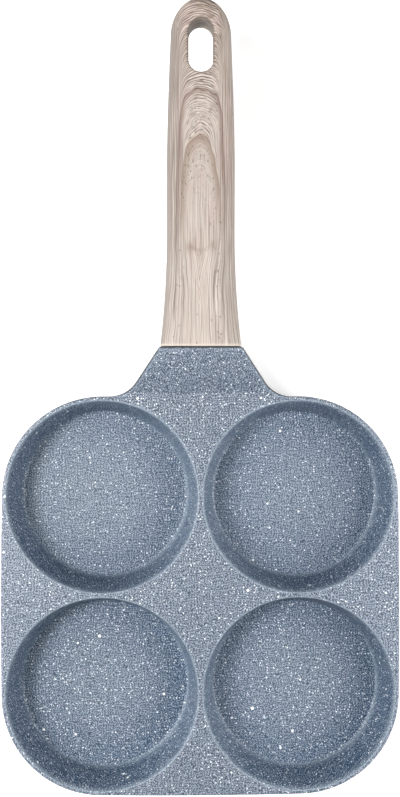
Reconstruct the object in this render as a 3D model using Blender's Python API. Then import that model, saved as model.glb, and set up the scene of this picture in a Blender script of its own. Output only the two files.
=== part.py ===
"""Four-cup pancake pan, modelled piece by piece in metres with +Z up.

The model is laid out in the pan's own frame: X runs across the pan, +Y runs
from the middle of the four cups along the handle, and Z is zero on the hob.
An empty named pan_frame then moves every piece together, so that the world
origin lies on the hob under the middle of the whole pan's outline.
"""

import math

import bmesh
import bpy
from mathutils import Vector

# Cups
CUP_PITCH = 0.0964
CUP_RIM_RADIUS = 0.0470
CUP_FLOOR_RADIUS = 0.0419
CUP_DEPTH = 0.0200
CUP_FLOOR_FILLET = 0.0024
CUP_RIM_ROUND = 0.0006
CUP_WALL = 0.0024
CUP_FLOOR_THICKNESS = 0.0035
CUP_BASE_ROUND = 0.0022

# Deck that joins the cups
RIM_MARGIN = 0.0021
SIDE_BULGE = 0.0004
DECK_THICKNESS = 0.0038
DECK_EDGE_ROUND = 0.0009

# Neck between deck and handle
NECK_LENGTH = 0.0238
NECK_END_WIDTH = 0.0402
NECK_END_ROUND = 0.0018
NECK_RISE = 0.0090
NECK_SIDE_ANGLE = math.radians(55.5)
NECK_SIDE_FILLET = 0.0160
NECK_LOWER_ROUND = 0.0016
NECK_BEND_SETBACK = 0.0015
NECK_BEND_LENGTH = 0.0040
NECK_SKIN = 0.0040
NECK_SIDE_WALL = 0.0035
NECK_END_WALL = 0.0050

# Lug of the pan inside the handle's socket
LUG_LENGTH = 0.0260
LUG_WIDTH = 0.0200
LUG_THICKNESS = 0.0058
LUG_EDGE_ROUND = 0.0008
LUG_END_ROOM = 0.0010

# Handle
HANDLE_LENGTH = 0.1642
HANDLE_FRONT_WIDTH = 0.0398
HANDLE_GRIP_WIDTH = 0.0328
HANDLE_REAR_WIDTH = 0.0287
HANDLE_FRONT_THICKNESS = 0.0200
HANDLE_GRIP_THICKNESS = 0.0170
HANDLE_REAR_THICKNESS = 0.0150
HANDLE_FLARE_LENGTH = 0.0577
HANDLE_TAPER_LENGTH = 0.0630
HANDLE_TIP_LENGTH = 0.0158
HANDLE_TAPER_POWER = 1.5
HANDLE_NOSE_LENGTH = 0.0090
HANDLE_NOSE_SQUARENESS = 2.6
HANDLE_FRONT_SLOPE = math.tan(math.radians(5.8))
HANDLE_REAR_SLOPE = math.tan(math.radians(3.6))
HANDLE_FRONT_SQUARENESS = 6.0
HANDLE_GRIP_SQUARENESS = 2.9
HANDLE_SQUARENESS_FADE = 3
HANDLE_FRONT_EDGE = 0.0005
HANDLE_TOP_WALL = 0.0036

# Hang hole near the handle's tip
HANG_HOLE_WIDTH = 0.0118
HANG_HOLE_LENGTH = 0.0240
HANG_HOLE_TO_TIP = 0.0109
HANG_HOLE_ROUND = 0.0015

# Handle screw and its washers, which go in from below
SCREW_TO_JOINT = 0.0140
SCREW_RADIUS = 0.0025
SCREW_HEAD_RADIUS = 0.0046
SCREW_HEAD_HEIGHT = 0.0026
SCREW_HEAD_EDGE = 0.0008
SCREW_TIP_CHAMFER = 0.0005
SCREW_TIP_ROOM = 0.0006
SCREW_RECESS_SPAN = 0.0052
SCREW_RECESS_WIDTH = 0.0010
SCREW_RECESS_DEPTH = 0.0014
SEAT_WALL = 0.0022
FLAT_WASHER_RADIUS = 0.0050
FLAT_WASHER_THICKNESS = 0.0008
SPRING_WASHER_RADIUS = 0.0044
SPRING_WASHER_THICKNESS = 0.0011
SPRING_WASHER_SLIT = 0.0006
COUNTERBORE_ROOM = 0.0006

# Stainless induction discs under the cups
DISC_RADIUS = 0.0335
DISC_THICKNESS = 0.0006
DISC_HOLE_RADIUS = 0.0023
DISC_RING_PITCH = 0.0090
DISC_RING_COUNT = 3
DISC_RING_GROWTH = 6

# Clearances and how finely round forms are cut into faces
FIT_GAP = 0.0003
STACK_GAP = 0.0002
OVERCUT = 0.0010
CUP_STEPS = 48
CORNER_STEPS = 12
SIDE_STEPS = 4
FILLET_STEPS = 3
EDGE_STEPS = 2
SMALL_STEPS = 20
HANDLE_STEPS = 28
HANDLE_RINGS = 17
PUNCH_STEPS = 8
SHARP_ANGLE = math.radians(32)

# Levels and places that follow from the sizes above
RIM_LEVEL = CUP_FLOOR_THICKNESS + CUP_DEPTH
DECK_UNDERSIDE = RIM_LEVEL - DECK_THICKNESS
HALF_PITCH = CUP_PITCH / 2
CORNER_RADIUS = CUP_RIM_RADIUS + RIM_MARGIN
DECK_END = HALF_PITCH + CORNER_RADIUS
JOINT = DECK_END + NECK_LENGTH
NECK_BEND = DECK_END + NECK_BEND_SETBACK
HANDLE_START = JOINT + FIT_GAP
HANDLE_TIP = HANDLE_START + HANDLE_LENGTH
SCREW_PLACE = JOINT + SCREW_TO_JOINT
WHOLE_MIDDLE = (HANDLE_TIP - DECK_END - SIDE_BULGE) / 2


def arc(centre, radius, start, end, steps):
    """Points on an arc about centre, from the start to the end angle in radians."""
    points = []
    for step in range(steps + 1):
        angle = start + (end - start) * step / steps
        reach = Vector((math.cos(angle), math.sin(angle))) * radius
        points.append(Vector(centre) + reach)
    return points


def fillet(before, corner, after, radius, steps):
    """Points on the arc of the given radius that rounds one corner of an outline."""
    corner = Vector(corner)
    back = (Vector(before) - corner).normalized()
    ahead = (Vector(after) - corner).normalized()
    half_angle = back.angle(ahead) / 2
    centre = corner + (back + ahead).normalized() * radius / math.sin(half_angle)
    reach = radius / math.tan(half_angle)
    start = corner + back * reach - centre
    end = corner + ahead * reach - centre
    start_angle = math.atan2(start.y, start.x)
    turn = math.atan2(start.cross(end), start.dot(end))
    return arc(centre, radius, start_angle, start_angle + turn, steps)


def circle(radius, height, steps):
    """A level ring of points about the Z axis."""
    ring = arc((0, 0), radius, 0, math.tau, steps)[:-1]
    return [point.to_3d() + Vector((0, 0, height)) for point in ring]


def material(name, colour, roughness, metallic):
    """A Principled material in linear colour."""
    made = bpy.data.materials.new(name)
    made.use_nodes = True
    shader = made.node_tree.nodes["Principled BSDF"]
    shader.inputs["Base Color"].default_value = (*colour, 1)
    shader.inputs["Roughness"].default_value = roughness
    shader.inputs["Metallic"].default_value = metallic
    return made


def place(name, bm, frame, finish=None, at=(0, 0, 0)):
    """Turn a bmesh into a named object under the pan's frame."""
    mesh = bpy.data.meshes.new(name)
    bm.to_mesh(mesh)
    bm.free()
    mesh.shade_smooth()
    mesh.set_sharp_from_angle(angle=SHARP_ANGLE)
    return place_mesh(name, mesh, frame, finish, at)


def place_mesh(name, mesh, frame, finish=None, at=(0, 0, 0)):
    """Put a mesh into the scene; without a finish it is a hidden cutter or form."""
    made = bpy.data.objects.new(name, mesh)
    bpy.context.scene.collection.objects.link(made)
    made.parent = frame
    made.location = at
    if finish is None:
        made.hide_render = True
        made.display_type = "WIRE"
    elif not mesh.materials:
        mesh.materials.append(finish)
    return made


def skin(rings):
    """Close a stack of matching rings of points into one solid."""
    bm = bmesh.new()
    loops = [[bm.verts.new(point) for point in ring] for ring in rings]
    for lower, upper in zip(loops, loops[1:]):
        for index in range(len(lower)):
            following = (index + 1) % len(lower)
            bm.faces.new((lower[index], lower[following], upper[following], upper[index]))
    bm.faces.new(loops[0])
    bm.faces.new(loops[-1])
    bmesh.ops.recalc_face_normals(bm, faces=bm.faces)
    return bm


def turned(profile, steps):
    """Turn a profile of radius and height about the Z axis."""
    return skin([circle(radius, height, steps) for radius, height in profile])


def boolean(target, operation, tools):
    """Join or cut the target with hidden tool objects."""
    group = bpy.data.collections.new(f"{target.name}_{operation.lower()}")
    for tool in tools:
        group.objects.link(tool)
    modifier = target.modifiers.new(group.name, "BOOLEAN")
    modifier.operation = operation
    modifier.operand_type = "COLLECTION"
    modifier.collection = group
    modifier.solver = "EXACT"


def cup_centres():
    """Middle of each cup, in rows from the handle's side."""
    return [(x, y) for y in (HALF_PITCH, -HALF_PITCH) for x in (-HALF_PITCH, HALF_PITCH)]


def cup_radius(height, outset=0.0):
    """Radius of the drafted cup wall at a height, moved out square to the wall."""
    lean = (CUP_RIM_RADIUS - CUP_FLOOR_RADIUS) / CUP_DEPTH
    inner = CUP_RIM_RADIUS - (RIM_LEVEL - height) * lean
    return inner + outset * math.hypot(1, lean)


def cup_hollow():
    """Inside of a cup, from its filleted floor to its rounded rim."""
    floor = CUP_FLOOR_THICKNESS
    foot = fillet((0, floor), (cup_radius(floor), floor), (CUP_RIM_RADIUS, RIM_LEVEL),
                  CUP_FLOOR_FILLET, FILLET_STEPS)
    rim = fillet((cup_radius(floor), floor), (CUP_RIM_RADIUS, RIM_LEVEL),
                 (CUP_RIM_RADIUS + RIM_MARGIN, RIM_LEVEL), CUP_RIM_ROUND, EDGE_STEPS)
    above = rim[-1] + Vector((0, OVERCUT))
    return turned([*foot, *rim, above], CUP_STEPS)


def cup_form():
    """Outside of a cup, up to just inside the deck's underside."""
    top = DECK_UNDERSIDE + OVERCUT
    crown = (cup_radius(top, CUP_WALL), top)
    heel = fillet((0, 0), (cup_radius(0, CUP_WALL), 0), crown, CUP_BASE_ROUND, EDGE_STEPS)
    return turned([*heel, crown], CUP_STEPS)


def deck_outline():
    """Plan outline of deck and neck, from the near side's middle and back to it."""
    lean = 2 * math.atan(SIDE_BULGE / HALF_PITCH)
    side_radius = HALF_PITCH / math.sin(lean) + CORNER_RADIUS
    side_centre = DECK_END + SIDE_BULGE - side_radius
    quarter = math.pi / 2
    near = arc((0, -side_centre), side_radius, -quarter, lean - quarter, SIDE_STEPS // 2)
    near_corner = arc((HALF_PITCH, -HALF_PITCH), CORNER_RADIUS, lean - quarter, -lean, CORNER_STEPS)
    side = arc((side_centre, 0), side_radius, -lean, lean, SIDE_STEPS)
    far_corner = arc((HALF_PITCH, HALF_PITCH), CORNER_RADIUS, lean, quarter, CORNER_STEPS)
    neck_end = Vector((NECK_END_WIDTH / 2, JOINT))
    neck_root = Vector((neck_end.x + NECK_LENGTH / math.tan(NECK_SIDE_ANGLE), DECK_END))
    sweep = fillet(far_corner[-1], neck_root, neck_end, NECK_SIDE_FILLET, 2 * FILLET_STEPS)
    end_corner = fillet(neck_root, neck_end, (0, JOINT), NECK_END_ROUND, FILLET_STEPS)
    half = [*near, *near_corner[1:], *side[1:], *far_corner[1:], *sweep, *end_corner]
    mirrored = [Vector((-point.x, point.y)) for point in reversed(half[1:])]
    return half + mirrored


def neck_lift(y):
    """How far the neck's top stands above the deck: a soft bend, then a ramp."""
    slope = NECK_RISE / (JOINT - NECK_BEND)
    past = y - NECK_BEND
    if abs(past) < NECK_BEND_LENGTH:
        return slope * (past + NECK_BEND_LENGTH) ** 2 / (4 * NECK_BEND_LENGTH)
    return max(slope * past, 0)


def neck_drop(y):
    """How far the neck's underside hangs below the deck's underside."""
    end_drop = HANDLE_FRONT_THICKNESS - NECK_RISE - DECK_THICKNESS
    return end_drop * max(y - DECK_END, 0) / NECK_LENGTH


def level_edges(bm, height, beyond):
    """Edges at one height whose two ends lie past a place along Y."""
    return [edge for edge in bm.edges
            if all(math.isclose(vert.co.z, height, abs_tol=1e-6) and vert.co.y > beyond
                   for vert in edge.verts)]


def deck_and_neck():
    """Flat plate with rounded edges, whose neck is then bent up and deepened."""
    outline = deck_outline()
    levels = (DECK_UNDERSIDE, RIM_LEVEL)
    bm = skin([[point.to_3d() + Vector((0, 0, level)) for point in outline] for level in levels])
    bmesh.ops.bevel(bm, geom=level_edges(bm, RIM_LEVEL, -math.inf), offset=DECK_EDGE_ROUND,
                    segments=EDGE_STEPS, profile=0.5, affect="EDGES")
    bmesh.ops.bevel(bm, geom=level_edges(bm, DECK_UNDERSIDE, NECK_BEND), offset=NECK_LOWER_ROUND,
                    segments=EDGE_STEPS, profile=0.5, affect="EDGES")
    bends = [NECK_BEND + share * NECK_BEND_LENGTH for share in (-1, -0.5, 0, 0.5, 1)]
    for y in [DECK_END, *bends]:
        everything = [*bm.verts, *bm.edges, *bm.faces]
        bmesh.ops.bisect_plane(bm, geom=everything, dist=1e-6, plane_co=(0, y, 0), plane_no=(0, 1, 0))
    for vert in bm.verts:
        above = vert.co.z > (DECK_UNDERSIDE + RIM_LEVEL) / 2
        vert.co.z += neck_lift(vert.co.y) if above else -neck_drop(vert.co.y)
    return bm


def neck_pocket():
    """Hollow under the neck, one skin below its top and one wall inside its sides."""
    slant = 1 / math.tan(NECK_SIDE_ANGLE)
    inset = NECK_SIDE_WALL / math.sin(NECK_SIDE_ANGLE)
    start = NECK_BEND + NECK_BEND_LENGTH
    end = JOINT - NECK_END_WALL
    rings = []
    for y in (start, end):
        half_width = NECK_END_WIDTH / 2 + (JOINT - y) * slant - inset
        top = RIM_LEVEL + neck_lift(y) - NECK_SKIN
        bottom = DECK_UNDERSIDE - neck_drop(JOINT) - OVERCUT
        corners = ((-half_width, top), (half_width, top), (half_width, bottom), (-half_width, bottom))
        rings.append([Vector((x, y, z)) for x, z in corners])
    return skin(rings)


def handle_top(y):
    """Height of the handle's top line, which rises less and less towards the tip."""
    along = y - JOINT
    bend = (HANDLE_FRONT_SLOPE - HANDLE_REAR_SLOPE) / (2 * (HANDLE_TIP - JOINT))
    return RIM_LEVEL + NECK_RISE + HANDLE_FRONT_SLOPE * along - bend * along ** 2


def handle_measure(y, front, grip, rear):
    """A width or thickness that flares to the front and tapers to the rear."""
    flare = max(1 - (y - JOINT) / HANDLE_FLARE_LENGTH, 0)
    taper_start = HANDLE_TIP - HANDLE_TIP_LENGTH - HANDLE_TAPER_LENGTH
    taper = max((y - taper_start) / HANDLE_TAPER_LENGTH, 0)
    return grip + (front - grip) * flare ** 2 - (grip - rear) * taper ** HANDLE_TAPER_POWER


def handle_width(y):
    """Full width of the handle before its tip is rounded."""
    return handle_measure(y, HANDLE_FRONT_WIDTH, HANDLE_GRIP_WIDTH, HANDLE_REAR_WIDTH)


def handle_thickness(y):
    """Full thickness of the handle before its tip is rounded."""
    return handle_measure(y, HANDLE_FRONT_THICKNESS, HANDLE_GRIP_THICKNESS, HANDLE_REAR_THICKNESS)


def squircle(y, half_width, half_height, middle, squareness):
    """Upright ring between an ellipse and a rectangle, at one place along the handle."""
    ring = []
    for step in range(HANDLE_STEPS):
        angle = math.tau * step / HANDLE_STEPS
        side = math.cos(angle)
        rise = math.sin(angle)
        power = 2 / squareness
        x = half_width * math.copysign(abs(side) ** power, side)
        z = half_height * math.copysign(abs(rise) ** power, rise)
        ring.append(Vector((x, y, middle + z)))
    return ring


def handle_ring(y, inset=0.0):
    """One ring of the handle's skin, moved in by an inset."""
    past_tip_start = max(y - (HANDLE_TIP - HANDLE_TIP_LENGTH), 0) / HANDLE_TIP_LENGTH
    past_nose_start = max(y - (HANDLE_TIP - HANDLE_NOSE_LENGTH), 0) / HANDLE_NOSE_LENGTH
    plan = math.sqrt(1 - past_tip_start ** 2)
    side_view = (1 - past_nose_start ** HANDLE_NOSE_SQUARENESS) ** (1 / HANDLE_NOSE_SQUARENESS)
    half_width = handle_width(y) / 2 * plan - inset
    half_height = handle_thickness(y) / 2 * side_view - inset
    middle = handle_top(y) - handle_thickness(y) / 2
    squaring = max(1 - (y - JOINT) / HANDLE_FLARE_LENGTH, 0) ** HANDLE_SQUARENESS_FADE
    squareness = HANDLE_GRIP_SQUARENESS + (HANDLE_FRONT_SQUARENESS - HANDLE_GRIP_SQUARENESS) * squaring
    return squircle(y, half_width, half_height, middle, squareness)


def handle_skin():
    """The handle's outside, from its lightly rounded front end to its rounded tip."""
    body_end = HANDLE_TIP - HANDLE_TIP_LENGTH
    body_start = HANDLE_START + HANDLE_FRONT_EDGE
    rings = [handle_ring(HANDLE_START, HANDLE_FRONT_EDGE)]
    for step in range(HANDLE_RINGS):
        rings.append(handle_ring(body_start + (body_end - body_start) * step / HANDLE_RINGS))
    for degrees in (0, 12, 24, 36, 48, 58, 67, 75, 82, 87):
        rings.append(handle_ring(body_end + HANDLE_TIP_LENGTH * math.sin(math.radians(degrees))))
    for point in rings[-1]:
        point.y = HANDLE_TIP
    return skin(rings)


def lug_ring(y, clearance=0.0):
    """Cross-section of the lug, or of its socket when a clearance is given."""
    top = handle_top(JOINT) + HANDLE_FRONT_SLOPE * (y - JOINT) - HANDLE_TOP_WALL - FIT_GAP
    half_width = LUG_WIDTH / 2 + clearance
    low = top - LUG_THICKNESS - clearance
    high = top + clearance
    corners = ((-half_width, low), (half_width, low), (half_width, high), (-half_width, high))
    return [Vector((x, y, z)) for x, z in corners]


def lug_underside(y):
    """Height of the lug's lower face at a place along it."""
    return min(point.z for point in lug_ring(y))


def lug():
    """Tongue that runs from inside the neck's end wall into the handle."""
    root = JOINT - NECK_END_WALL / 2
    bm = skin([lug_ring(root), lug_ring(JOINT + LUG_LENGTH)])
    far_edges = [edge for edge in bm.edges if max(vert.co.y for vert in edge.verts) > JOINT]
    bmesh.ops.bevel(bm, geom=far_edges, offset=LUG_EDGE_ROUND, segments=1, affect="EDGES")
    return bm


def lug_socket():
    """Hollow in the handle's front end that takes the lug."""
    front = HANDLE_START - OVERCUT
    back = JOINT + LUG_LENGTH + LUG_END_ROOM
    return skin([lug_ring(front, FIT_GAP), lug_ring(back, FIT_GAP)])


def stadium(width, length, outset):
    """Outline with two round ends, lengthwise along Y, moved out by an outset."""
    radius = width / 2 + outset
    reach = (length - width) / 2
    far_end = arc((0, reach), radius, 0, math.pi, SMALL_STEPS // 2)
    near_end = arc((0, -reach), radius, math.pi, math.tau, SMALL_STEPS // 2)
    return [*far_end, *near_end]


def hang_hole():
    """Cutter for the hang hole, flared at both faces so that its edges are rounded."""
    half = handle_thickness(hang_hole_place()) / 2
    rows = [(HANG_HOLE_ROUND, half + OVERCUT)]
    for degrees in (0, 30, 60, 90):
        turn = math.radians(degrees)
        outset = HANG_HOLE_ROUND * (1 - math.sin(turn))
        rows.append((outset, half - HANG_HOLE_ROUND * (1 - math.cos(turn))))
    rows += [(outset, -height) for outset, height in reversed(rows)]
    rings = []
    for outset, height in rows:
        outline = stadium(HANG_HOLE_WIDTH, HANG_HOLE_LENGTH, outset)
        rings.append([point.to_3d() + Vector((0, 0, height)) for point in outline])
    return skin(rings)


def hang_hole_place():
    """Where the hang hole's middle lies along the handle."""
    return HANDLE_TIP - HANG_HOLE_TO_TIP - HANG_HOLE_LENGTH / 2


def screw_stack():
    """Heights of the faces below the handle's seat, from the seat down to the head."""
    seat = lug_underside(SCREW_PLACE - FLAT_WASHER_RADIUS) - FIT_GAP - SEAT_WALL
    flat_washer = seat - STACK_GAP - FLAT_WASHER_THICKNESS
    spring_washer = flat_washer - STACK_GAP - SPRING_WASHER_THICKNESS
    head = spring_washer - STACK_GAP - SCREW_HEAD_HEIGHT
    return {"seat": seat, "flat_washer": flat_washer, "spring_washer": spring_washer, "head": head}


def screw_tip():
    """Top of the screw, just short of the lug's upper face."""
    return lug_underside(SCREW_PLACE - SCREW_RADIUS) + LUG_THICKNESS - SCREW_TIP_ROOM


def counterbore():
    """Cutter for the screw's way through the handle and the recess for its head."""
    seat = screw_stack()["seat"]
    below = handle_top(SCREW_PLACE) - HANDLE_FRONT_THICKNESS - OVERCUT
    ceiling = lug_underside(SCREW_PLACE) + OVERCUT
    wide = FLAT_WASHER_RADIUS + COUNTERBORE_ROOM
    narrow = SCREW_RADIUS + FIT_GAP
    return turned([(wide, below), (wide, seat), (narrow, seat), (narrow, ceiling)], SMALL_STEPS)


def lug_hole():
    """Cutter for the screw's hole in the lug."""
    low = lug_underside(SCREW_PLACE - SCREW_RADIUS) - OVERCUT
    high = lug_underside(SCREW_PLACE + SCREW_RADIUS) + LUG_THICKNESS + OVERCUT
    radius = SCREW_RADIUS + FIT_GAP
    return turned([(radius, low), (radius, high)], SMALL_STEPS)


def disc_recess():
    """Cutter for the shallow seat of an induction disc."""
    radius = DISC_RADIUS + FIT_GAP
    return turned([(radius, -OVERCUT), (radius, DISC_THICKNESS + FIT_GAP)], CUP_STEPS)


def make_pan(frame, coating):
    """Cast body: deck, neck, four cups and the lug for the handle."""
    pan = place("pan_body", deck_and_neck(), frame, coating)
    forms = [place("lug_form", lug(), frame)]
    cutters = [
        place("neck_pocket_cutter", neck_pocket(), frame),
        place("lug_hole_cutter", lug_hole(), frame, at=(0, SCREW_PLACE, 0)),
    ]
    for number, (x, y) in enumerate(cup_centres(), start=1):
        forms.append(place(f"cup_form_{number}", cup_form(), frame, at=(x, y, 0)))
        cutters.append(place(f"cup_hollow_{number}", cup_hollow(), frame, at=(x, y, 0)))
        cutters.append(place(f"disc_recess_{number}", disc_recess(), frame, at=(x, y, 0)))
    boolean(pan, "UNION", forms)
    boolean(pan, "DIFFERENCE", cutters)


def make_handle(frame, wood):
    """Moulded grip with its socket, screw recess and hang hole."""
    handle = place("handle_grip", handle_skin(), frame, wood)
    hole_place = hang_hole_place()
    middle = handle_top(hole_place) - handle_thickness(hole_place) / 2
    hole = place("hang_hole_cutter", hang_hole(), frame, at=(0, hole_place, middle))
    rise = handle_top(hole_place + OVERCUT) - handle_top(hole_place - OVERCUT)
    hole.rotation_euler.x = math.atan2(rise, 2 * OVERCUT)
    socket = place("socket_cutter", lug_socket(), frame)
    recess = place("counterbore_cutter", counterbore(), frame, at=(0, SCREW_PLACE, 0))
    boolean(handle, "DIFFERENCE", [hole, socket, recess])


def screw_form():
    """Screw turned about its axis, from its domed head at the bottom to its tip."""
    low = screw_stack()["head"]
    seat = low + SCREW_HEAD_HEIGHT
    dome_height = SCREW_HEAD_HEIGHT - SCREW_HEAD_EDGE
    profile = []
    for degrees in (25, 50, 70, 90):
        turn = math.radians(degrees)
        profile.append((SCREW_HEAD_RADIUS * math.sin(turn), low + dome_height * (1 - math.cos(turn))))
    tip = screw_tip()
    profile.append((SCREW_HEAD_RADIUS, seat))
    profile.append((SCREW_RADIUS, seat))
    profile.append((SCREW_RADIUS, tip - SCREW_TIP_CHAMFER))
    profile.append((SCREW_RADIUS - SCREW_TIP_CHAMFER, tip))
    return turned(profile, SMALL_STEPS)


def screw_slot():
    """One of the two slots that cross in the screw's head."""
    head = screw_stack()["head"]
    x = SCREW_RECESS_SPAN / 2
    y = SCREW_RECESS_WIDTH / 2
    rings = []
    for level in (head - OVERCUT, head + SCREW_RECESS_DEPTH):
        rings.append([Vector(corner) for corner in
                      ((-x, -y, level), (x, -y, level), (x, y, level), (-x, y, level))])
    return skin(rings)


def make_screw(frame, steel):
    """Domed cross-head screw that holds the handle to the lug."""
    spot = (0, SCREW_PLACE, 0)
    screw = place("handle_screw", screw_form(), frame, steel, at=spot)
    slots = [place(f"screw_slot_{number}", screw_slot(), frame, at=spot) for number in (1, 2)]
    slots[1].rotation_euler.z = math.pi / 2
    boolean(screw, "DIFFERENCE", slots)


def washer_section(radius_in, radius_out, low, thickness, angle):
    """Square cross-section of a washer at one angle about its axis."""
    direction = Vector((math.cos(angle), math.sin(angle), 0))
    high = low + thickness
    corners = ((radius_in, low), (radius_out, low), (radius_out, high), (radius_in, high))
    return [direction * radius + Vector((0, 0, height)) for radius, height in corners]


def make_flat_washer(frame, steel):
    """Plain ring against the handle's seat, punched from a turned blank."""
    low = screw_stack()["flat_washer"]
    high = low + FLAT_WASHER_THICKNESS
    bore = SCREW_RADIUS + FIT_GAP
    spot = (0, SCREW_PLACE, 0)
    blank = turned([(FLAT_WASHER_RADIUS, low), (FLAT_WASHER_RADIUS, high)], SMALL_STEPS)
    punch = turned([(bore, low - OVERCUT), (bore, high + OVERCUT)], SMALL_STEPS)
    washer = place("flat_washer", blank, frame, steel, at=spot)
    boolean(washer, "DIFFERENCE", [place("washer_punch", punch, frame, at=spot)])


def make_spring_washer(frame, steel):
    """Split ring between the flat washer and the screw's head."""
    low = screw_stack()["spring_washer"]
    bore = SCREW_RADIUS + FIT_GAP
    half_slit = SPRING_WASHER_SLIT / 2 / bore
    first = math.pi / 2 + half_slit
    sections = []
    for step in range(SMALL_STEPS + 1):
        angle = first + (math.tau - 2 * half_slit) * step / SMALL_STEPS
        sections.append(washer_section(bore, SPRING_WASHER_RADIUS, low, SPRING_WASHER_THICKNESS, angle))
    place("spring_washer", skin(sections), frame, steel, at=(0, SCREW_PLACE, 0))


def disc_punches():
    """Round punches in rings, each with the same number more than the ring inside it."""
    punches = bmesh.new()
    for ring in range(1, DISC_RING_COUNT + 1):
        count = DISC_RING_GROWTH * ring
        for step in range(count):
            angle = math.tau * step / count
            middle = Vector((math.cos(angle), math.sin(angle), 0)) * DISC_RING_PITCH * ring
            loops = []
            for level in (-OVERCUT, DISC_THICKNESS + OVERCUT):
                loops.append([punches.verts.new(point + middle)
                              for point in circle(DISC_HOLE_RADIUS, level, PUNCH_STEPS)])
            for index in range(PUNCH_STEPS):
                following = (index + 1) % PUNCH_STEPS
                punches.faces.new((loops[0][index], loops[0][following],
                                   loops[1][following], loops[1][index]))
            punches.faces.new(loops[0])
            punches.faces.new(loops[1])
    bmesh.ops.recalc_face_normals(punches, faces=punches.faces)
    return punches


def make_discs(frame, steel):
    """Perforated discs, one under each cup, all with the same mesh and punches."""
    places = [(x, y, 0) for x, y in cup_centres()]
    blank = turned([(DISC_RADIUS, 0), (DISC_RADIUS, DISC_THICKNESS)], CUP_STEPS)
    discs = [place("induction_disc_1", blank, frame, steel, at=places[0])]
    punches = [place("disc_punches_1", disc_punches(), frame, at=places[0])]
    for number, spot in enumerate(places[1:], start=2):
        discs.append(place_mesh(f"induction_disc_{number}", discs[0].data, frame, steel, at=spot))
        punches.append(place_mesh(f"disc_punches_{number}", punches[0].data, frame, at=spot))
    for disc, punch in zip(discs, punches):
        boolean(disc, "DIFFERENCE", [punch])


def main():
    """Build every piece of the pan."""
    for leftover in list(bpy.data.objects):
        bpy.data.objects.remove(leftover)
    frame = bpy.data.objects.new("pan_frame", None)
    frame.location = (0, -WHOLE_MIDDLE, 0)
    bpy.context.scene.collection.objects.link(frame)
    coating = material("stone_coating", (0.27, 0.33, 0.40), 0.45, 0.0)
    wood = material("wood_print", (0.60, 0.50, 0.43), 0.45, 0.0)
    zinc_steel = material("zinc_steel", (0.62, 0.62, 0.60), 0.35, 1.0)
    stainless = material("stainless_steel", (0.60, 0.60, 0.61), 0.30, 1.0)
    make_pan(frame, coating)
    make_handle(frame, wood)
    make_screw(frame, zinc_steel)
    make_flat_washer(frame, zinc_steel)
    make_spring_washer(frame, zinc_steel)
    make_discs(frame, stainless)


main()
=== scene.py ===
"""Fine surfaces, finishes, studio and camera for the four-cup pancake pan.

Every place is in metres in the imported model's own frame: X runs across the
pan, +Y towards the handle's tip, and Z is zero on the hob. Each surface is a
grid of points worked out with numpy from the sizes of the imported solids, so it
lies where its solid lies.
"""

import logging
import math
from dataclasses import dataclass, field
from enum import Enum
from functools import partial, reduce

import bmesh
import bpy
import numpy as np
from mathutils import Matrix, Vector


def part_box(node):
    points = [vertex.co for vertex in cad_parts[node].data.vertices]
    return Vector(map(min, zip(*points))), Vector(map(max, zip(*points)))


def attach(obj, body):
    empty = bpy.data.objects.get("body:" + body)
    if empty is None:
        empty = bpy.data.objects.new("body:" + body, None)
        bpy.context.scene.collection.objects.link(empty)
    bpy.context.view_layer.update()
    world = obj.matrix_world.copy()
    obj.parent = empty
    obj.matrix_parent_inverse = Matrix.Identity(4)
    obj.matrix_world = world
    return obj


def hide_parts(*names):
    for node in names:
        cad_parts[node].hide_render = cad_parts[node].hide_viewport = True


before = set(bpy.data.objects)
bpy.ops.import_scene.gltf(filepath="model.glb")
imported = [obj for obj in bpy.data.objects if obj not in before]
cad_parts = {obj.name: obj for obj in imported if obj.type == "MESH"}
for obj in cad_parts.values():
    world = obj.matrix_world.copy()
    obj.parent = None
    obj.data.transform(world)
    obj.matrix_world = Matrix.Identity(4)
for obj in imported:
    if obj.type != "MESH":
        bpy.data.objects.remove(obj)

LOG = logging.getLogger("pancake_pan")
WELD_DISTANCE = 1e-6
SNAP_DISTANCE = 1e-4
TINY = 1e-9
FIT_GAP = 0.0003
SHARP_ANGLE = math.radians(38)
QUARTER = math.pi / 2
WHITE = (1.0, 1.0, 1.0, 1.0)

Colour = tuple[float, float, float]
Span = tuple[float, float]
Fade = tuple[float, float, float, float]
Socket = bpy.types.NodeSocket


class Side(Enum):
    """Which way along Y a quarter of the pan lies from the cups' middle."""

    FAR = 1
    NEAR = -1


class Coat(Enum):
    """Material slots of the pan body."""

    INSIDE = 0
    OUTSIDE = 1


def arc(centre: tuple[float, float], radius: float, start: float, end: float, steps: int) -> np.ndarray:
    """Points on a circular arc: centre plus radius times cosine and sine of evenly spaced angles.

    Args:
        centre: middle of the circle.
        radius: radius of the circle.
        start: first angle in radians.
        end: last angle in radians.
        steps: number of equal steps between them.

    Returns:
        Array of steps + 1 points.
    """
    angles = np.linspace(start, end, steps + 1)
    return np.array(centre) + radius * np.stack([np.cos(angles), np.sin(angles)], axis=1)


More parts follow.
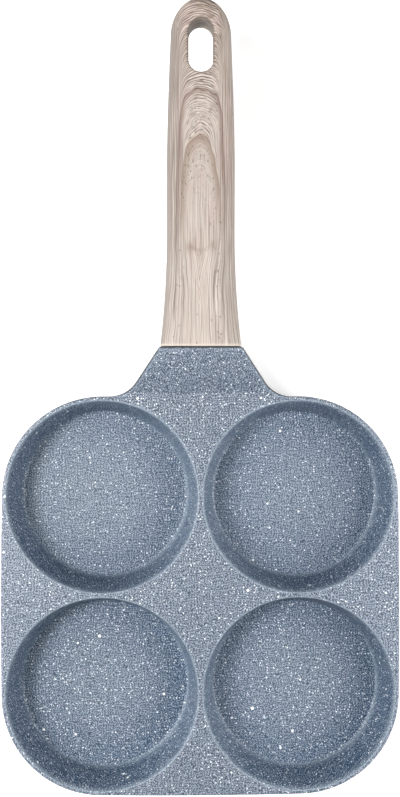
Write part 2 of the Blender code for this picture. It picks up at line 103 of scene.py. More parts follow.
def corner_arc(before: np.ndarray, corner: np.ndarray, after: np.ndarray, radius: float,
               steps: int) -> np.ndarray:
    """Arc that rounds a corner: it touches both legs at radius over the tangent of half their angle.

    Args:
        before: a point on the leg that comes in.
        corner: the sharp corner.
        after: a point on the leg that goes out.
        radius: radius of the rounding.
        steps: number of equal steps along the arc.

    Returns:
        Array of steps + 1 points from one leg to the other.
    """
    corner = np.asarray(corner, float)
    back = np.asarray(before, float) - corner
    ahead = np.asarray(after, float) - corner
    back /= np.linalg.norm(back)
    ahead /= np.linalg.norm(ahead)
    half_angle = math.acos(float(np.clip(back @ ahead, -1, 1))) / 2
    bisector = (back + ahead) / np.linalg.norm(back + ahead)
    centre = corner + bisector * radius / math.sin(half_angle)
    reach = radius / math.tan(half_angle)
    start = corner + back * reach - centre
    end = corner + ahead * reach - centre
    turn = math.atan2(start[0] * end[1] - start[1] * end[0], float(start @ end))
    start_angle = math.atan2(start[1], start[0])
    return arc(tuple(centre), radius, start_angle, start_angle + turn, steps)


def line(start: tuple[float, float], end: tuple[float, float], steps: int) -> np.ndarray:
    """Evenly spaced points on a straight line, both ends included."""
    share = np.linspace(0, 1, steps + 1)[:, None]
    return np.array(start) * (1 - share) + np.array(end) * share


def level(points: np.ndarray, height: float | np.ndarray) -> np.ndarray:
    """Plan points lifted to a height, which may differ from point to point."""
    heights = np.broadcast_to(height, points.shape[:-1])
    return np.concatenate([points, heights[..., None]], axis=-1)


def smooth_step(value: np.ndarray, low: float, high: float) -> np.ndarray:
    """Zero below low, one above high and an S curve, 3t squared minus 2t cubed, between."""
    share = np.clip((value - low) / (high - low), 0, 1)
    return share * share * (3 - 2 * share)


def bell(value: np.ndarray, middle: float, width: float) -> np.ndarray:
    """One at the middle, falling off on both sides as e to minus the square of the way over the width."""
    return np.exp(-((value - middle) / width) ** 2)


@dataclass
class Sheets:
    """Grids of points gathered into one closed mesh, welded where their edges meet."""

    points: list[np.ndarray] = field(default_factory=list)
    faces: list[np.ndarray] = field(default_factory=list)
    slots: list[np.ndarray] = field(default_factory=list)
    count: int = 0

    def add(self, grid: np.ndarray, slot: int = 0, closed: bool = False) -> None:
        """Add one sheet whose quads join each point to the next along both grid directions.

        Args:
            grid: array of rows by columns by three coordinates.
            slot: material slot of its faces.
            closed: whether the last column joins the first.
        """
        rows, columns = grid.shape[:2]
        index = np.arange(rows * columns).reshape(rows, columns) + self.count
        following = np.roll(index, -1, axis=1) if closed else index[:, 1:]
        here = index if closed else index[:, :-1]
        quads = np.stack([here[:-1], following[:-1], following[1:], here[1:]], axis=-1).reshape(-1, 4)
        self.points.append(grid.reshape(-1, 3))
        self.faces.append(quads)
        self.slots.append(np.full(len(quads), slot, np.int32))
        self.count += rows * columns

    def mesh(self, name: str) -> bpy.types.Mesh:
        """Weld the sheets into a mesh with faces pointing out and smooth shading between sharp edges.

        Args:
            name: name of the mesh.

        Returns:
            The finished mesh.
        """
        mesh = bpy.data.meshes.new(name)
        mesh.from_pydata(np.concatenate(self.points).tolist(), [], np.concatenate(self.faces).tolist())
        mesh.polygons.foreach_set("material_index", np.concatenate(self.slots))
        bm = bmesh.new()
        bm.from_mesh(mesh)
        bmesh.ops.remove_doubles(bm, verts=bm.verts, dist=WELD_DISTANCE)
        bmesh.ops.dissolve_degenerate(bm, edges=bm.edges, dist=WELD_DISTANCE)
        bmesh.ops.recalc_face_normals(bm, faces=bm.faces)
        bm.to_mesh(mesh)
        bm.free()
        finish_shading(mesh)
        return mesh


def finish_shading(mesh: bpy.types.Mesh) -> None:
    """Shade a mesh smooth, with edges sharper than the sharp angle kept crisp."""
    mesh.shade_smooth()
    mesh.set_sharp_from_angle(angle=SHARP_ANGLE)


def vertex_array(mesh: bpy.types.Mesh) -> np.ndarray:
    """Coordinates of a mesh's vertices as rows of three numbers."""
    flat = np.empty(len(mesh.vertices) * 3, np.float32)
    mesh.vertices.foreach_get("co", flat)
    return flat.reshape(-1, 3).astype(float)


def hold_inside(mesh: bpy.types.Mesh, node: str) -> None:
    """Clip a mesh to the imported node's own box, which its finer rows may overstep by a hair."""
    low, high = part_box(node)
    held = np.clip(vertex_array(mesh), np.array(low), np.array(high))
    mesh.vertices.foreach_set("co", held.astype(np.float32).ravel())
    mesh.update()


def add_attribute(mesh: bpy.types.Mesh, name: str, values: np.ndarray) -> None:
    """Store one number for each vertex under a name that a material can read."""
    made = mesh.attributes.new(name, "FLOAT", "POINT")
    made.data.foreach_set("value", values.astype(np.float32))


def place_object(name: str, data: bpy.types.ID) -> bpy.types.Object:
    """Make an object of the given data and link it to the scene."""
    made = bpy.data.objects.new(name, data)
    bpy.context.scene.collection.objects.link(made)
    return made


def new_piece(name: str, mesh: bpy.types.Mesh, replaces: str) -> None:
    """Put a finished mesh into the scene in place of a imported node.

    Args:
        name: name of the piece.
        mesh: its mesh, already in place and with its materials.
        replaces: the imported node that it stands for.
    """
    piece = place_object(name, mesh)
    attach(piece, "root")
    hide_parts(replaces)
    LOG.info("%s: %d vertices, %d faces", name, len(mesh.vertices), len(mesh.polygons))


def carve(mesh: bpy.types.Mesh, forms: list[bpy.types.Mesh], cutters: list[bpy.types.Mesh],
          materials: list[bpy.types.Material]) -> bpy.types.Mesh:
    """Join forms to a mesh and take the cutters' volumes out of it with exact Booleans.

    The materials go on first, because the Booleans keep each face's slot only then.

    Args:
        mesh: closed mesh to start from.
        forms: closed meshes to join to it.
        cutters: closed meshes to take away.
        materials: materials in slot order.

    Returns:
        A new mesh with the joins and cuts made.
    """
    for closed in [mesh, *forms, *cutters]:
        for finish in materials:
            closed.materials.append(finish)
    body = place_object("carved_body", mesh)
    tools = []
    steps = [(form, "UNION") for form in forms] + [(cutter, "DIFFERENCE") for cutter in cutters]
    for form, operation in steps:
        tool = place_object("carving_tool", form)
        modifier = body.modifiers.new("carve", "BOOLEAN")
        modifier.operation = operation
        modifier.solver = "EXACT"
        modifier.object = tool
        tools.append(tool)
    bpy.context.view_layer.update()
    evaluated = body.evaluated_get(bpy.context.evaluated_depsgraph_get())
    result = bpy.data.meshes.new_from_object(evaluated)
    for leftover in [body, *tools]:
        bpy.data.objects.remove(leftover)
    finish_shading(result)
    return result


def ring_stack(name: str, rings: np.ndarray, slot: int = 0) -> bpy.types.Mesh:
    """Solid skinned over a stack of closed rings, each end closed by shrinking its ring to its middle.

    Args:
        name: name of the mesh.
        rings: array of rings by points by three coordinates.
        slot: material slot of its faces.

    Returns:
        The closed mesh.
    """
    first = np.broadcast_to(rings[0].mean(axis=0), rings[0].shape)
    last = np.broadcast_to(rings[-1].mean(axis=0), rings[-1].shape)
    sheets = Sheets()
    sheets.add(np.concatenate([first[None], rings, last[None]]), slot, closed=True)
    return sheets.mesh(name)


def turned(profile: np.ndarray, middle: tuple[float, float], steps: int) -> np.ndarray:
    """Rings of a turned form: each profile point of radius and height swept round an upright axis.

    Args:
        profile: rows of radius and height.
        middle: place of the axis in plan.
        steps: points in each ring.

    Returns:
        Array of rings by points by three coordinates.
    """
    angles = np.arange(steps) * math.tau / steps
    x = middle[0] + profile[:, :1] * np.cos(angles)
    y = middle[1] + profile[:, :1] * np.sin(angles)
    return np.stack([x, y, np.broadcast_to(profile[:, 1:], x.shape)], axis=-1)


@dataclass(frozen=True)
class Layout:
    """Places that several sub-assemblies share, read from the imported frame."""

    middle: float
    half_pitch: float
    joint: float
    tip: float

    @classmethod
    def from_frame(cls) -> "Layout":
        """Read the cups' middle and pitch from the discs, and the handle's ends from its node."""
        corners = [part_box(f"induction_disc_{number}") for number in range(1, 5)]
        centres = np.array([[(low.x + high.x) / 2, (low.y + high.y) / 2] for low, high in corners])
        handle_low, handle_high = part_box("handle_grip")
        return cls(
            middle=float(centres[:, 1].mean()),
            half_pitch=float(np.abs(centres[:, 0]).mean()),
            joint=handle_low.y - FIT_GAP,
            tip=handle_high.y,
        )


class Graph:
    """A node tree under construction, with short calls that add and link nodes."""

    def __init__(self, tree: bpy.types.NodeTree) -> None:
        """Start on an empty or a material's node tree."""
        self.tree = tree

    def node(self, kind: str, inputs: dict[str | int, object] | None = None,
             **settings: object) -> bpy.types.Node:
        """Add a node, set its options and fill or link its inputs.

        Args:
            kind: Blender's name of the node type.
            inputs: input name or number to a value or to the socket that feeds it.
            settings: the node's own options.

        Returns:
            The new node.
        """
        made = self.tree.nodes.new(kind)
        for option, value in settings.items():
            setattr(made, option, value)
        for key, value in (inputs or {}).items():
            if isinstance(value, Socket):
                self.tree.links.new(value, made.inputs[key])
            else:
                made.inputs[key].default_value = value
        return made

    def math(self, operation: str, *values: object, clamp: bool = False) -> Socket:
        """One Math node.

        Args:
            operation: Blender's name of the operation.
            values: its values or sockets in order.
            clamp: whether the result is kept between 0 and 1.

        Returns:
            The node's output.
        """
        inputs = dict(enumerate(values))
        return self.node("ShaderNodeMath", inputs, operation=operation, use_clamp=clamp).outputs[0]

    def sum(self, *terms: object) -> Socket:
        """Add up values or sockets."""
        return reduce(partial(self.math, "ADD"), terms)

    def times(self, *factors: object) -> Socket:
        """Multiply values or sockets with each other."""
        return reduce(partial(self.math, "MULTIPLY"), factors)

    def minus(self, first: object, second: object) -> Socket:
        """Take the second value or socket from the first."""
        return self.math("SUBTRACT", first, second)

    def over(self, first: object, second: object) -> Socket:
        """Divide the first value or socket by the second."""
        return self.math("DIVIDE", first, second)

    def larger(self, first: object, second: object) -> Socket:
        """The larger one of two values or sockets."""
        return self.math("MAXIMUM", first, second)

    def absolute(self, value: object) -> Socket:
        """A value without its sign."""
        return self.math("ABSOLUTE", value)

    def ramp(self, value: Socket, low: float, high: float, out_low: float = 0.0,
             out_high: float = 1.0) -> Socket:
        """Map a value from one range to another, kept inside the second."""
        made = self.node("ShaderNodeMapRange", {"Value": value, "From Min": low, "From Max": high,
                                                "To Min": out_low, "To Max": out_high})
        return made.outputs["Result"]

    def mix(self, factor: object, first: object, second: object, blend: str = "MIX") -> Socket:
        """Mix two colours.

        Args:
            factor: share of the second colour.
            first: first colour or socket.
            second: second colour or socket.
            blend: Blender's name of the blend type.

        Returns:
            The mixed colour.
        """
        values = [with_alpha(entry) for entry in (first, second)]
        made = self.node("ShaderNodeMix", {0: factor, 6: values[0], 7: values[1]}, data_type="RGBA",
                         blend_type=blend)
        return made.outputs[2]

    def coordinates(self) -> Socket:
        """The piece's own Object coordinates in metres."""
        return self.node("ShaderNodeTexCoord").outputs["Object"]

    def attribute(self, name: str) -> Socket:
        """One number stored for each vertex."""
        return self.node("ShaderNodeAttribute", attribute_name=name).outputs["Fac"]

    def vector(self, x: object, y: object, z: object = 0.0) -> Socket:
        """A vector from three values or sockets."""
        return self.node("ShaderNodeCombineXYZ", {"X": x, "Y": y, "Z": z}).outputs[0]

    def split(self, vector: Socket) -> list[Socket]:
        """The three coordinates of a vector."""
        return list(self.node("ShaderNodeSeparateXYZ", {0: vector}).outputs)

    def noise(self, vector: Socket, scale: float | Socket, detail: float = 2.0) -> Socket:
        """Value of a noise texture between about 0 and 1."""
        made = self.node("ShaderNodeTexNoise", {"Vector": vector, "Scale": scale, "Detail": detail})
        return made.outputs["Fac"]

    def group(self, group: bpy.types.NodeTree, inputs: dict[str, object]) -> Socket:
        """Result of a node group that is placed with its own values."""
        return self.node("ShaderNodeGroup", inputs, node_tree=group).outputs[0]


def with_alpha(entry: object) -> object:
    """A colour of three numbers gets a fourth; a socket is passed on."""
    if isinstance(entry, tuple) and len(entry) == 3:
        return (*entry, 1.0)
    return entry


def new_group(name: str, inputs: tuple[str, ...], output: str) -> tuple[Graph, dict[str, Socket]]:
    """Start a shader node group, in which an input called Vector is a vector and the rest numbers.

    Args:
        name: name of the group.
        inputs: names of its input sockets.
        output: name of its one output socket.

    Returns:
        The graph to build in, and its inputs by name.
    """
    tree = bpy.data.node_groups.new(name, "ShaderNodeTree")
    for socket in inputs:
        kind = "NodeSocketVector" if socket == "Vector" else "NodeSocketFloat"
        tree.interface.new_socket(socket, in_out="INPUT", socket_type=kind)
    tree.interface.new_socket(output, in_out="OUTPUT", socket_type="NodeSocketFloat")
    graph = Graph(tree)
    given = graph.node("NodeGroupInput").outputs
    return graph, {socket: given[socket] for socket in inputs}


def close_group(graph: Graph, result: Socket) -> bpy.types.NodeTree:
    """Link a group's result to its output node and hand the group over."""
    graph.node("NodeGroupOutput", {0: result})
    return graph.tree


def speckle_group(smallest: float = 0.4) -> bpy.types.NodeTree:
    """Round specks: a cell's speck is where the distance to its point is less than its own radius."""
    graph, given = new_group("speckle", ("Vector", "Cell", "Radius", "Share", "Soft"), "Mask")
    scale = graph.over(1.0, given["Cell"])
    cells = graph.node("ShaderNodeTexVoronoi", {"Vector": given["Vector"], "Scale": scale})
    chance = graph.node("ShaderNodeSeparateColor", {0: cells.outputs["Color"]}).outputs
    own_share = graph.math("MULTIPLY_ADD", chance[1], 1 - smallest, smallest)
    inside = graph.minus(graph.times(given["Radius"], own_share), cells.outputs["Distance"])
    solid = graph.math("DIVIDE", inside, given["Soft"], clamp=True)
    present = graph.math("LESS_THAN", chance[0], given["Share"])
    return close_group(graph, graph.times(solid, present))


def grains_group(bend_scale: float = 0.33, bend: float = 2.5) -> bpy.types.NodeTree:
    """Fine grains: an even maze of dark and pale threads, bent by noise so that no rows show."""
    graph, given = new_group("grains", ("Vector", "Cell"), "Value")
    scaled = {0: given["Vector"], "Scale": graph.over(1.0, given["Cell"])}
    steps = graph.node("ShaderNodeVectorMath", scaled, operation="SCALE").outputs[0]
    noise = graph.node("ShaderNodeTexNoise", {"Vector": steps, "Scale": bend_scale, "Detail": 1.0})
    moved = {0: noise.outputs["Color"], 1: (bend,) * 3, 2: steps}
    bent = graph.node("ShaderNodeVectorMath", moved, operation="MULTIPLY_ADD").outputs[0]
    turns = [graph.times(part, math.tau) for part in graph.split(bent)]
    waves = [graph.times(graph.math("SINE", turns[axis]), graph.math("COSINE", turns[axis - 1]))
             for axis in range(3)]
    return close_group(graph, graph.ramp(graph.sum(*waves), -1.2, 1.2))


def mottle_group() -> bpy.types.NodeTree:
    """Soft unevenness: the mean of a broad and a fine noise, stretched about its middle."""
    graph, given = new_group("mottle", ("Vector", "Broad", "Fine"), "Value")
    values = [graph.noise(given["Vector"], graph.over(1.0, given[part])) for part in ("Broad", "Fine")]
    return close_group(graph, graph.ramp(graph.times(graph.sum(*values), 0.5), 0.3, 0.7))


def grain_lines_group(drift: float = 0.35, break_crowding: float = 0.9,
                      break_crispness: float = 6.0) -> bpy.types.NodeTree:
    """Thin broken lines across one coordinate: a raised cosine of the coordinate over the pitch.

    Noise that changes slowly along the line shifts the cosine's phase, so that spacings differ,
    and a second noise breaks the lines up.
    """
    graph, given = new_group(
        "grain_lines", ("Across", "Along", "Pitch", "Length", "Sharpness", "Wander", "Cover"), "Mask")
    step = graph.over(given["Across"], given["Pitch"])
    run = graph.over(given["Along"], given["Length"])
    shift = graph.noise(graph.vector(graph.times(step, drift), run, 3.7), 1.0)
    phase = graph.sum(step, graph.times(shift, given["Wander"]))
    wave = graph.math("COSINE", graph.times(phase, math.tau))
    raised = graph.math("POWER", graph.ramp(wave, -1.0, 1.0), given["Sharpness"])
    place = graph.vector(graph.times(step, break_crowding), graph.times(run, 2.0), 8.1)
    kept = graph.minus(graph.noise(place, 1.0), graph.minus(1.0, given["Cover"]))
    kept = graph.math("MULTIPLY", kept, break_crispness, clamp=True)
    return close_group(graph, graph.times(raised, kept))


def turning_group() -> bpy.types.NodeTree:
    """Fine concentric tool marks: noise that depends on the distance from an upright axis."""
    graph, given = new_group("turning", ("Vector", "Pitch"), "Value")
    x, y, _ = graph.split(given["Vector"])
    length = graph.node("ShaderNodeVectorMath", {0: graph.vector(x, y)}, operation="LENGTH")
    steps = graph.over(length.outputs["Value"], given["Pitch"])
    marks = graph.node("ShaderNodeTexNoise", {"W": steps, "Scale": 1.0, "Detail": 3.0},
                       noise_dimensions="1D")
    return close_group(graph, marks.outputs["Fac"])


@dataclass
class Effects:
    """The shared node groups, each built once."""

    speckle: bpy.types.NodeTree = field(default_factory=speckle_group)
    grains: bpy.types.NodeTree = field(default_factory=grains_group)
    grain_lines: bpy.types.NodeTree = field(default_factory=grain_lines_group)
    mottle: bpy.types.NodeTree = field(default_factory=mottle_group)
    turning: bpy.types.NodeTree = field(default_factory=turning_group)

    def uneven(self, graph: Graph, place: Socket, broad: float, fine: float) -> Socket:
        """Soft unevenness at a place, with the sizes of its broad and its fine part."""
        return graph.group(self.mottle, {"Vector": place, "Broad": broad, "Fine": fine})

    def specks(self, graph: Graph, place: Socket, cell: float, radius: float, share: float | Socket,
               soft: float) -> Socket:
        """Mask of round specks at a place.

        Args:
            graph: graph to build in.
            place: the coordinates that the cells lie in.
            cell: size of a cell.
            radius: largest radius as a share of the cell.
            share: share of the cells that hold a speck.
            soft: width of a speck's edge as a share of the cell.

        Returns:
            The mask.
        """
        return graph.group(self.speckle, {"Vector": place, "Cell": cell, "Radius": radius,
                                          "Share": share, "Soft": soft})


def new_material(name: str, metallic: float) -> tuple[bpy.types.Material, Graph, bpy.types.Node]:
    """Start a material.

    Args:
        name: name of the material.
        metallic: constant set on the shader's own socket.

    Returns:
        The material, its graph and its Principled shader.
    """
    made = bpy.data.materials.new(name)
    made.use_nodes = True
    shader = made.node_tree.nodes["Principled BSDF"]
    shader.inputs["Metallic"].default_value = metallic
    return made, Graph(made.node_tree), shader


def finish_surface(graph: Graph, shader: bpy.types.Node, colour: Socket, rough: Socket, height: Socket,
                   depth: float) -> None:
    """Feed a shader's colour and roughness, and its normal from a bump.

    Args:
        graph: the material's graph.
        shader: its Principled shader.
        colour: base colour.
        rough: roughness.
        height: height of the surface.
        depth: what a height of one stands for, in metres.
    """
    bump = graph.node("ShaderNodeBump", {"Strength": 1.0, "Distance": depth, "Height": height})
    fed = {"Base Color": colour, "Roughness": rough, "Normal": bump.outputs["Normal"]}
    for name, socket in fed.items():
        graph.tree.links.new(socket, shader.inputs[name])


@dataclass(frozen=True)
class Speck:
    """One family of specks in the coating; lengths in metres, radius and softness as shares of a cell."""

    cell: float
    radius: float
    share: float
    soft: float
    colour: Colour
    strength: float
    shift: float


@dataclass(frozen=True)
class StoneCoating:
    """Stone-speckled non-stick coating of the inside and the deck; lengths in metres."""

    ground: Colour = (0.170, 0.222, 0.284)
    ground_cool: Colour = (0.134, 0.198, 0.256)
    ground_violet: Colour = (0.205, 0.205, 0.290)
    grain_dark: Colour = (0.012, 0.028, 0.050)
    grain_pale: Colour = (0.430, 0.475, 0.540)
    grain_cell: float = 0.00132
    # much darker ground of the cup walls: painted shade
    wall: Colour = (0.009, 0.049, 0.110)
    shade: Colour = (0.030, 0.080, 0.158)
    deck_tone: Colour = (0.092, 0.078, 0.104)
    # colour of the painted highlight lines on the cup rims, on the cup feet where they face the light, and
    # inside the neck's edge
    painted_highlight: Colour = (0.30, 0.37, 0.43)
    bare_edge: Colour = (0.035, 0.040, 0.050)
    neck_shade: Colour = (0.70, 0.73, 0.76)
    violet_share: float = 0.35
    shade_share: float = 0.50
    deck_share: float = 0.16
    painted_highlight_share: float = 0.5
    neck_shade_share: float = 0.95
    neck_shade_edge: float = 0.0008
    dark_share: float = 0.82
    pale_share: float = 0.72
    cup_contrast: float = 0.84
    wall_contrast: float = 0.95
    shade_quiet: float = 0.4
    most_specks: float = 1.4
    least_specks: float = 0.8
    roughness: Span = (0.37, 0.49)
    depth: float = 0.00004
    specks: tuple[Speck, ...] = (
        Speck(0.00120, 0.30, 0.60, 0.04, (0.006, 0.012, 0.026), 0.90, 0.31),
        Speck(0.00135, 0.26, 0.60, 0.03, (0.92, 0.96, 1.00), 1.0, 0.0),
        Speck(0.00250, 0.17, 0.75, 0.02, (0.94, 0.97, 1.00), 1.0, 0.57),
        Speck(0.00950, 0.095, 0.90, 0.01, (0.94, 0.95, 0.95), 1.0, 0.83),
    )

    def material(self, effects: Effects, bend: float, joint: float) -> bpy.types.Material:
        """Build the material: uneven slate ground, fine grains, four families of specks and a bump.

        Args:
            effects: the shared node groups.
            bend: where along the pan the neck turns up.
            joint: where along the pan the neck ends.

        Returns:
            The finished material.
        """
        made, graph, shader = new_material("stone_coating", 0.0)
        place = graph.coordinates()
        wall, shade, deck = (graph.attribute(name) for name in ("cup_wall", "floor_shade", "deck"))
        uneven = effects.uneven(graph, place, broad=0.012, fine=0.003)
        tint = effects.uneven(graph, place, broad=0.007, fine=0.004)
        colour = graph.mix(uneven, self.ground, self.ground_cool)
        colour = graph.mix(graph.times(tint, self.violet_share), colour, self.ground_violet)
        colour = graph.mix(graph.times(shade, self.shade_share), colour, self.shade)
        # painted shade: the cup walls are mixed towards their much darker ground
        colour = graph.mix(wall, colour, self.wall)
        quiet = graph.larger(wall, graph.times(shade, self.shade_quiet))
        on_level = graph.ramp(quiet, 0.0, 1.0, 1.0, self.wall_contrast)
        grain = graph.group(effects.grains, {"Vector": place, "Cell": self.grain_cell})
        contrast = graph.times(on_level, graph.ramp(deck, 0.0, 1.0, self.cup_contrast, 1.0))
        for tone, high, most in ((self.grain_dark, 0.0, self.dark_share),
                                 (self.grain_pale, 1.0, self.pale_share)):
            share = graph.ramp(grain, 0.5, high, 0.0, most)
            colour = graph.mix(graph.times(share, contrast), colour, tone)
        colour = graph.mix(graph.times(deck, self.deck_share), colour, self.deck_tone)
        few = graph.attribute("few_specks")
        plenty = graph.ramp(few, 0.0, 1.0, self.most_specks, self.least_specks)
        height = uneven
        for speck in self.specks:
            offset = graph.node("ShaderNodeMapping", {"Vector": place, "Location": (speck.shift,) * 3})
            cover = graph.times(plenty, speck.share)
            mask = effects.specks(graph, offset.outputs[0], speck.cell, speck.radius, cover, speck.soft)
            share = graph.times(mask, graph.times(on_level, speck.strength))
            colour = graph.mix(share, colour, speck.colour)
            height = graph.sum(height, share)
        along = graph.split(place)[1]
        on_neck = graph.times(graph.ramp(along, bend, bend + self.neck_shade_edge),
                              graph.ramp(along, bend, joint, self.neck_shade_share, 0.0))
        colour = graph.mix(on_neck, colour, self.neck_shade, blend="MULTIPLY")
        # painted highlight lines over the coating
        highlight = graph.times(graph.attribute("painted_highlight_line"), self.painted_highlight_share)
        colour = graph.mix(highlight, colour, self.painted_highlight)
        colour = graph.mix(graph.attribute("bare_edge"), colour, self.bare_edge)
        rough = graph.ramp(uneven, 0.0, 1.0, *self.roughness)
        finish_surface(graph, shader, colour, rough, height, self.depth)
        return made


@dataclass(frozen=True)
class OutsideEnamel:
    """Dark heat-proof enamel on the outside of the casting; lengths in metres."""

    dark: Colour = (0.030, 0.038, 0.048)
    light: Colour = (0.045, 0.055, 0.068)
    fleck: Colour = (0.20, 0.22, 0.24)
    fleck_share: float = 0.5
    roughness: Span = (0.40, 0.50)
    depth: float = 0.00003

    def material(self, effects: Effects) -> bpy.types.Material:
        """Build the material: two close tones, sparse flecks and a faint orange-peel bump."""
        made, graph, shader = new_material("outside_enamel", 0.0)
        place = graph.coordinates()
        uneven = effects.uneven(graph, place, broad=0.015, fine=0.002)
        flecks = effects.specks(graph, place, cell=0.0022, radius=0.22, share=0.5, soft=0.08)
        colour = graph.mix(uneven, self.dark, self.light)
        colour = graph.mix(graph.times(flecks, self.fleck_share), colour, self.fleck)
        rough = graph.ramp(uneven, 0.0, 1.0, *self.roughness)
        finish_surface(graph, shader, colour, rough, uneven, self.depth)
        return made


@dataclass(frozen=True)
class GrainLine:
    """One family of printed grain lines; lengths in millimetres."""

    pitch: float
    length: float
    sharpness: float
    wander: float
    cover: float
    tone: Colour
    strength: float


@dataclass(frozen=True)
class Accent:
    """One dark arch, which fades over its reach, in millimetres, inwards from its outer side."""

    reach: float
    power: float
    strength: float
    tone: Colour


@dataclass(frozen=True)
class WoodPrint:
    """Pale wood-grain print on the moulded handle; lengths in millimetres.

    The rings are nested arches whose tops point to the handle's tip. An arch falls away from its
    top by its bow times the across coordinate squared plus a steep eighth power, and arches
    inside the outer one are bowed more, in proportion to how far down their tops lie. Along is
    the distance from the tip. A span is the stretch over which something comes or goes, and a
    fade also says what share there is before and after it.
    """

    outer_arch: float = 43.5
    inner_arch: float = 20.7
    bow: float = 0.0414
    bow_growth: float = 0.00344
    shoulder: Fade = (12.0, 42.0, 0.0775e-6, 1.55e-6)
    sway_scale: float = 70.0
    sway_across: Fade = (0.3, 0.7, -0.25, 0.25)
    sway_along: Fade = (0.3, 0.7, 1.2, -1.2)
    inner_point: Fade = (0.0, 10.0, 0.0, 0.6)
    inner_weaker: Fade = (-2.0, 3.0, 1.0, 0.5)
    lean_near: Span = (0.0, 5.0)
    lean_far: Fade = (9.0, 14.0, 1.0, 0.0)
    lean_in: Fade = (58.0, 72.0, 0.0, 1.3)
    lean_out: Fade = (80.0, 112.0, 1.0, 0.35)
    beside_slant: float = 0.4
    knot_along: float = 119.0
    fork_length: float = 24.0
    fork_half_width: float = 5.0
    fork_edge: float = 0.5
    fork_start: Span = (118.0, 122.0)
    core_span: Span = (14.0, 30.0)
    steep_span: Span = (3.0, 7.0)
    dash_span: Span = (3.0, 10.0)
    dash_share: float = 0.70
    accent_edge: Span = (-0.4, 0.3)
    accent_end: Fade = (85.0, 122.0, 1.0, 0.0)
    knot_share: float = 0.75
    fleck_share: float = 0.60
    side_span: Span = (7.0, 13.0)
    painted_left_shade: Fade = (120.0, 160.0, 0.72, 0.25)
    right_dark: Fade = (70.0, 115.0, 0.0, 0.50)
    right_pale: Fade = (30.0, 80.0, 0.40, 0.0)
    front_span: Span = (90.0, 150.0)
    behind_rings: Fade = (-26.0, 0.0, 1.0, 0.0)
    behind_along: Fade = (50.0, 105.0, 1.0, 0.2)
    behind_share: float = 0.9
    drift_across: float = 0.26
    drift_along: float = 0.014
    drift_span: Span = (0.35, 0.65)
    drift_share: float = 0.22
    patch_stretch: float = 0.4
    patch_scale: float = 0.14
    patch_span: Span = (0.42, 0.62)
    rosy: Fade = (80.0, 125.0, 0.55, 0.25)
    few_stretch: float = 0.35
    many_stretch: float = 0.50
    many_shift: float = 5.0
    many_start: Span = (0.0, 3.0)
    many_end: Fade = (14.0, 34.0, 0.9, 0.15)
    ground: Colour = (0.500, 0.434, 0.384)
    ground_behind: Colour = (0.370, 0.272, 0.222)
    ground_front: Colour = (0.580, 0.512, 0.452)
    side_and_shade_tone: Colour = (0.270, 0.235, 0.212)
    pale_and_highlight_tone: Colour = (0.660, 0.590, 0.520)
    rosy_tone: Colour = (0.500, 0.375, 0.345)
    edge_shade_tone: Colour = (0.120, 0.104, 0.090)
    knot: Colour = (0.240, 0.170, 0.135)
    fleck: Colour = (0.130, 0.085, 0.065)
    hole_plastic_and_shade: Colour = (0.135, 0.113, 0.094)
    outer_accent: Accent = Accent(3.6, 1.1, 0.64, (0.150, 0.078, 0.054))
    inner_accent: Accent = Accent(8.0, 1.2, 0.70, (0.230, 0.160, 0.112))
    ring_lines: tuple[GrainLine, ...] = (
        GrainLine(1.30, 12.0, 2.0, 1.6, 0.66, (0.740, 0.665, 0.590), 0.95),
        GrainLine(1.15, 10.0, 3.0, 1.8, 0.62, (0.085, 0.052, 0.038), 0.90),
        GrainLine(4.00, 9.0, 9.0, 2.0, 0.50, (0.085, 0.048, 0.034), 0.80),
    )
    dash_lines: tuple[GrainLine, ...] = (
        GrainLine(1.45, 6.0, 2.0, 1.3, 0.58, (0.740, 0.670, 0.600), 0.90),
        GrainLine(1.20, 4.0, 3.0, 1.4, 0.54, (0.080, 0.052, 0.040), 0.95),
    )
    long_lines: tuple[GrainLine, ...] = (
        GrainLine(1.35, 50.0, 1.5, 1.4, 0.60, (0.720, 0.655, 0.580), 0.62),
        GrainLine(0.85, 40.0, 3.0, 1.6, 0.62, (0.150, 0.108, 0.084), 0.55),
        GrainLine(2.40, 80.0, 7.0, 2.2, 0.58, (0.090, 0.062, 0.048), 0.42),
        GrainLine(1.30, 50.0, 6.0, 1.8, 0.54, (0.090, 0.062, 0.048), 0.42),
    )
    fork_lines: tuple[GrainLine, ...] = (
        GrainLine(1.40, 60.0, 1.5, 0.8, 0.62, (0.700, 0.635, 0.560), 0.55),
        GrainLine(1.05, 40.0, 5.0, 0.8, 0.62, (0.090, 0.058, 0.044), 0.60),
    )
    roughness: Span = (0.46, 0.56)
    gloss: float = 0.15
    depth: float = 0.00002

    def rings(self, graph: Graph, across: Socket, along: Socket) -> tuple[Socket, Socket, Socket]:
        """Work out which arch a point lies on.

        Args:
            graph: graph to build in.
            across: signed way round from the crown line.
            along: distance from the tip.

        Returns:
            Distance of the arch's top behind the outer arch's, the arch's steepness at the point,
            and how fast the first changes per millimetre.
        """
        lean = graph.times(graph.ramp(across, *self.lean_near), graph.ramp(across, *self.lean_far),
                           graph.ramp(along, *self.lean_in), graph.ramp(along, *self.lean_out))
        square = graph.times(across, across)
        fourth = graph.math("POWER", square, 4.0)
        shoulder = graph.ramp(along, *self.shoulder)
        spread = graph.sum(graph.times(square, graph.sum(lean, 1.0)), graph.times(fourth, shoulder))
        distance = graph.absolute(across)
        seventh = graph.math("POWER", distance, 7.0)
        slope = graph.sum(graph.times(distance, 2.0), graph.times(seventh, 8.0, shoulder))
        past = graph.minus(graph.minus(along, self.outer_arch), graph.times(spread, self.bow))
        inside = graph.math("GREATER_THAN", past, 0.0)
        stretch = graph.sum(graph.times(spread, self.bow_growth, inside), 1.0)
        ring = graph.over(past, stretch)
        own_bow = graph.sum(graph.times(graph.larger(ring, 0.0), self.bow_growth), self.bow)
        steep = graph.times(slope, own_bow)
        length = graph.math("SQRT", graph.sum(graph.times(steep, steep), 1.0))
        return ring, steep, graph.over(length, stretch)

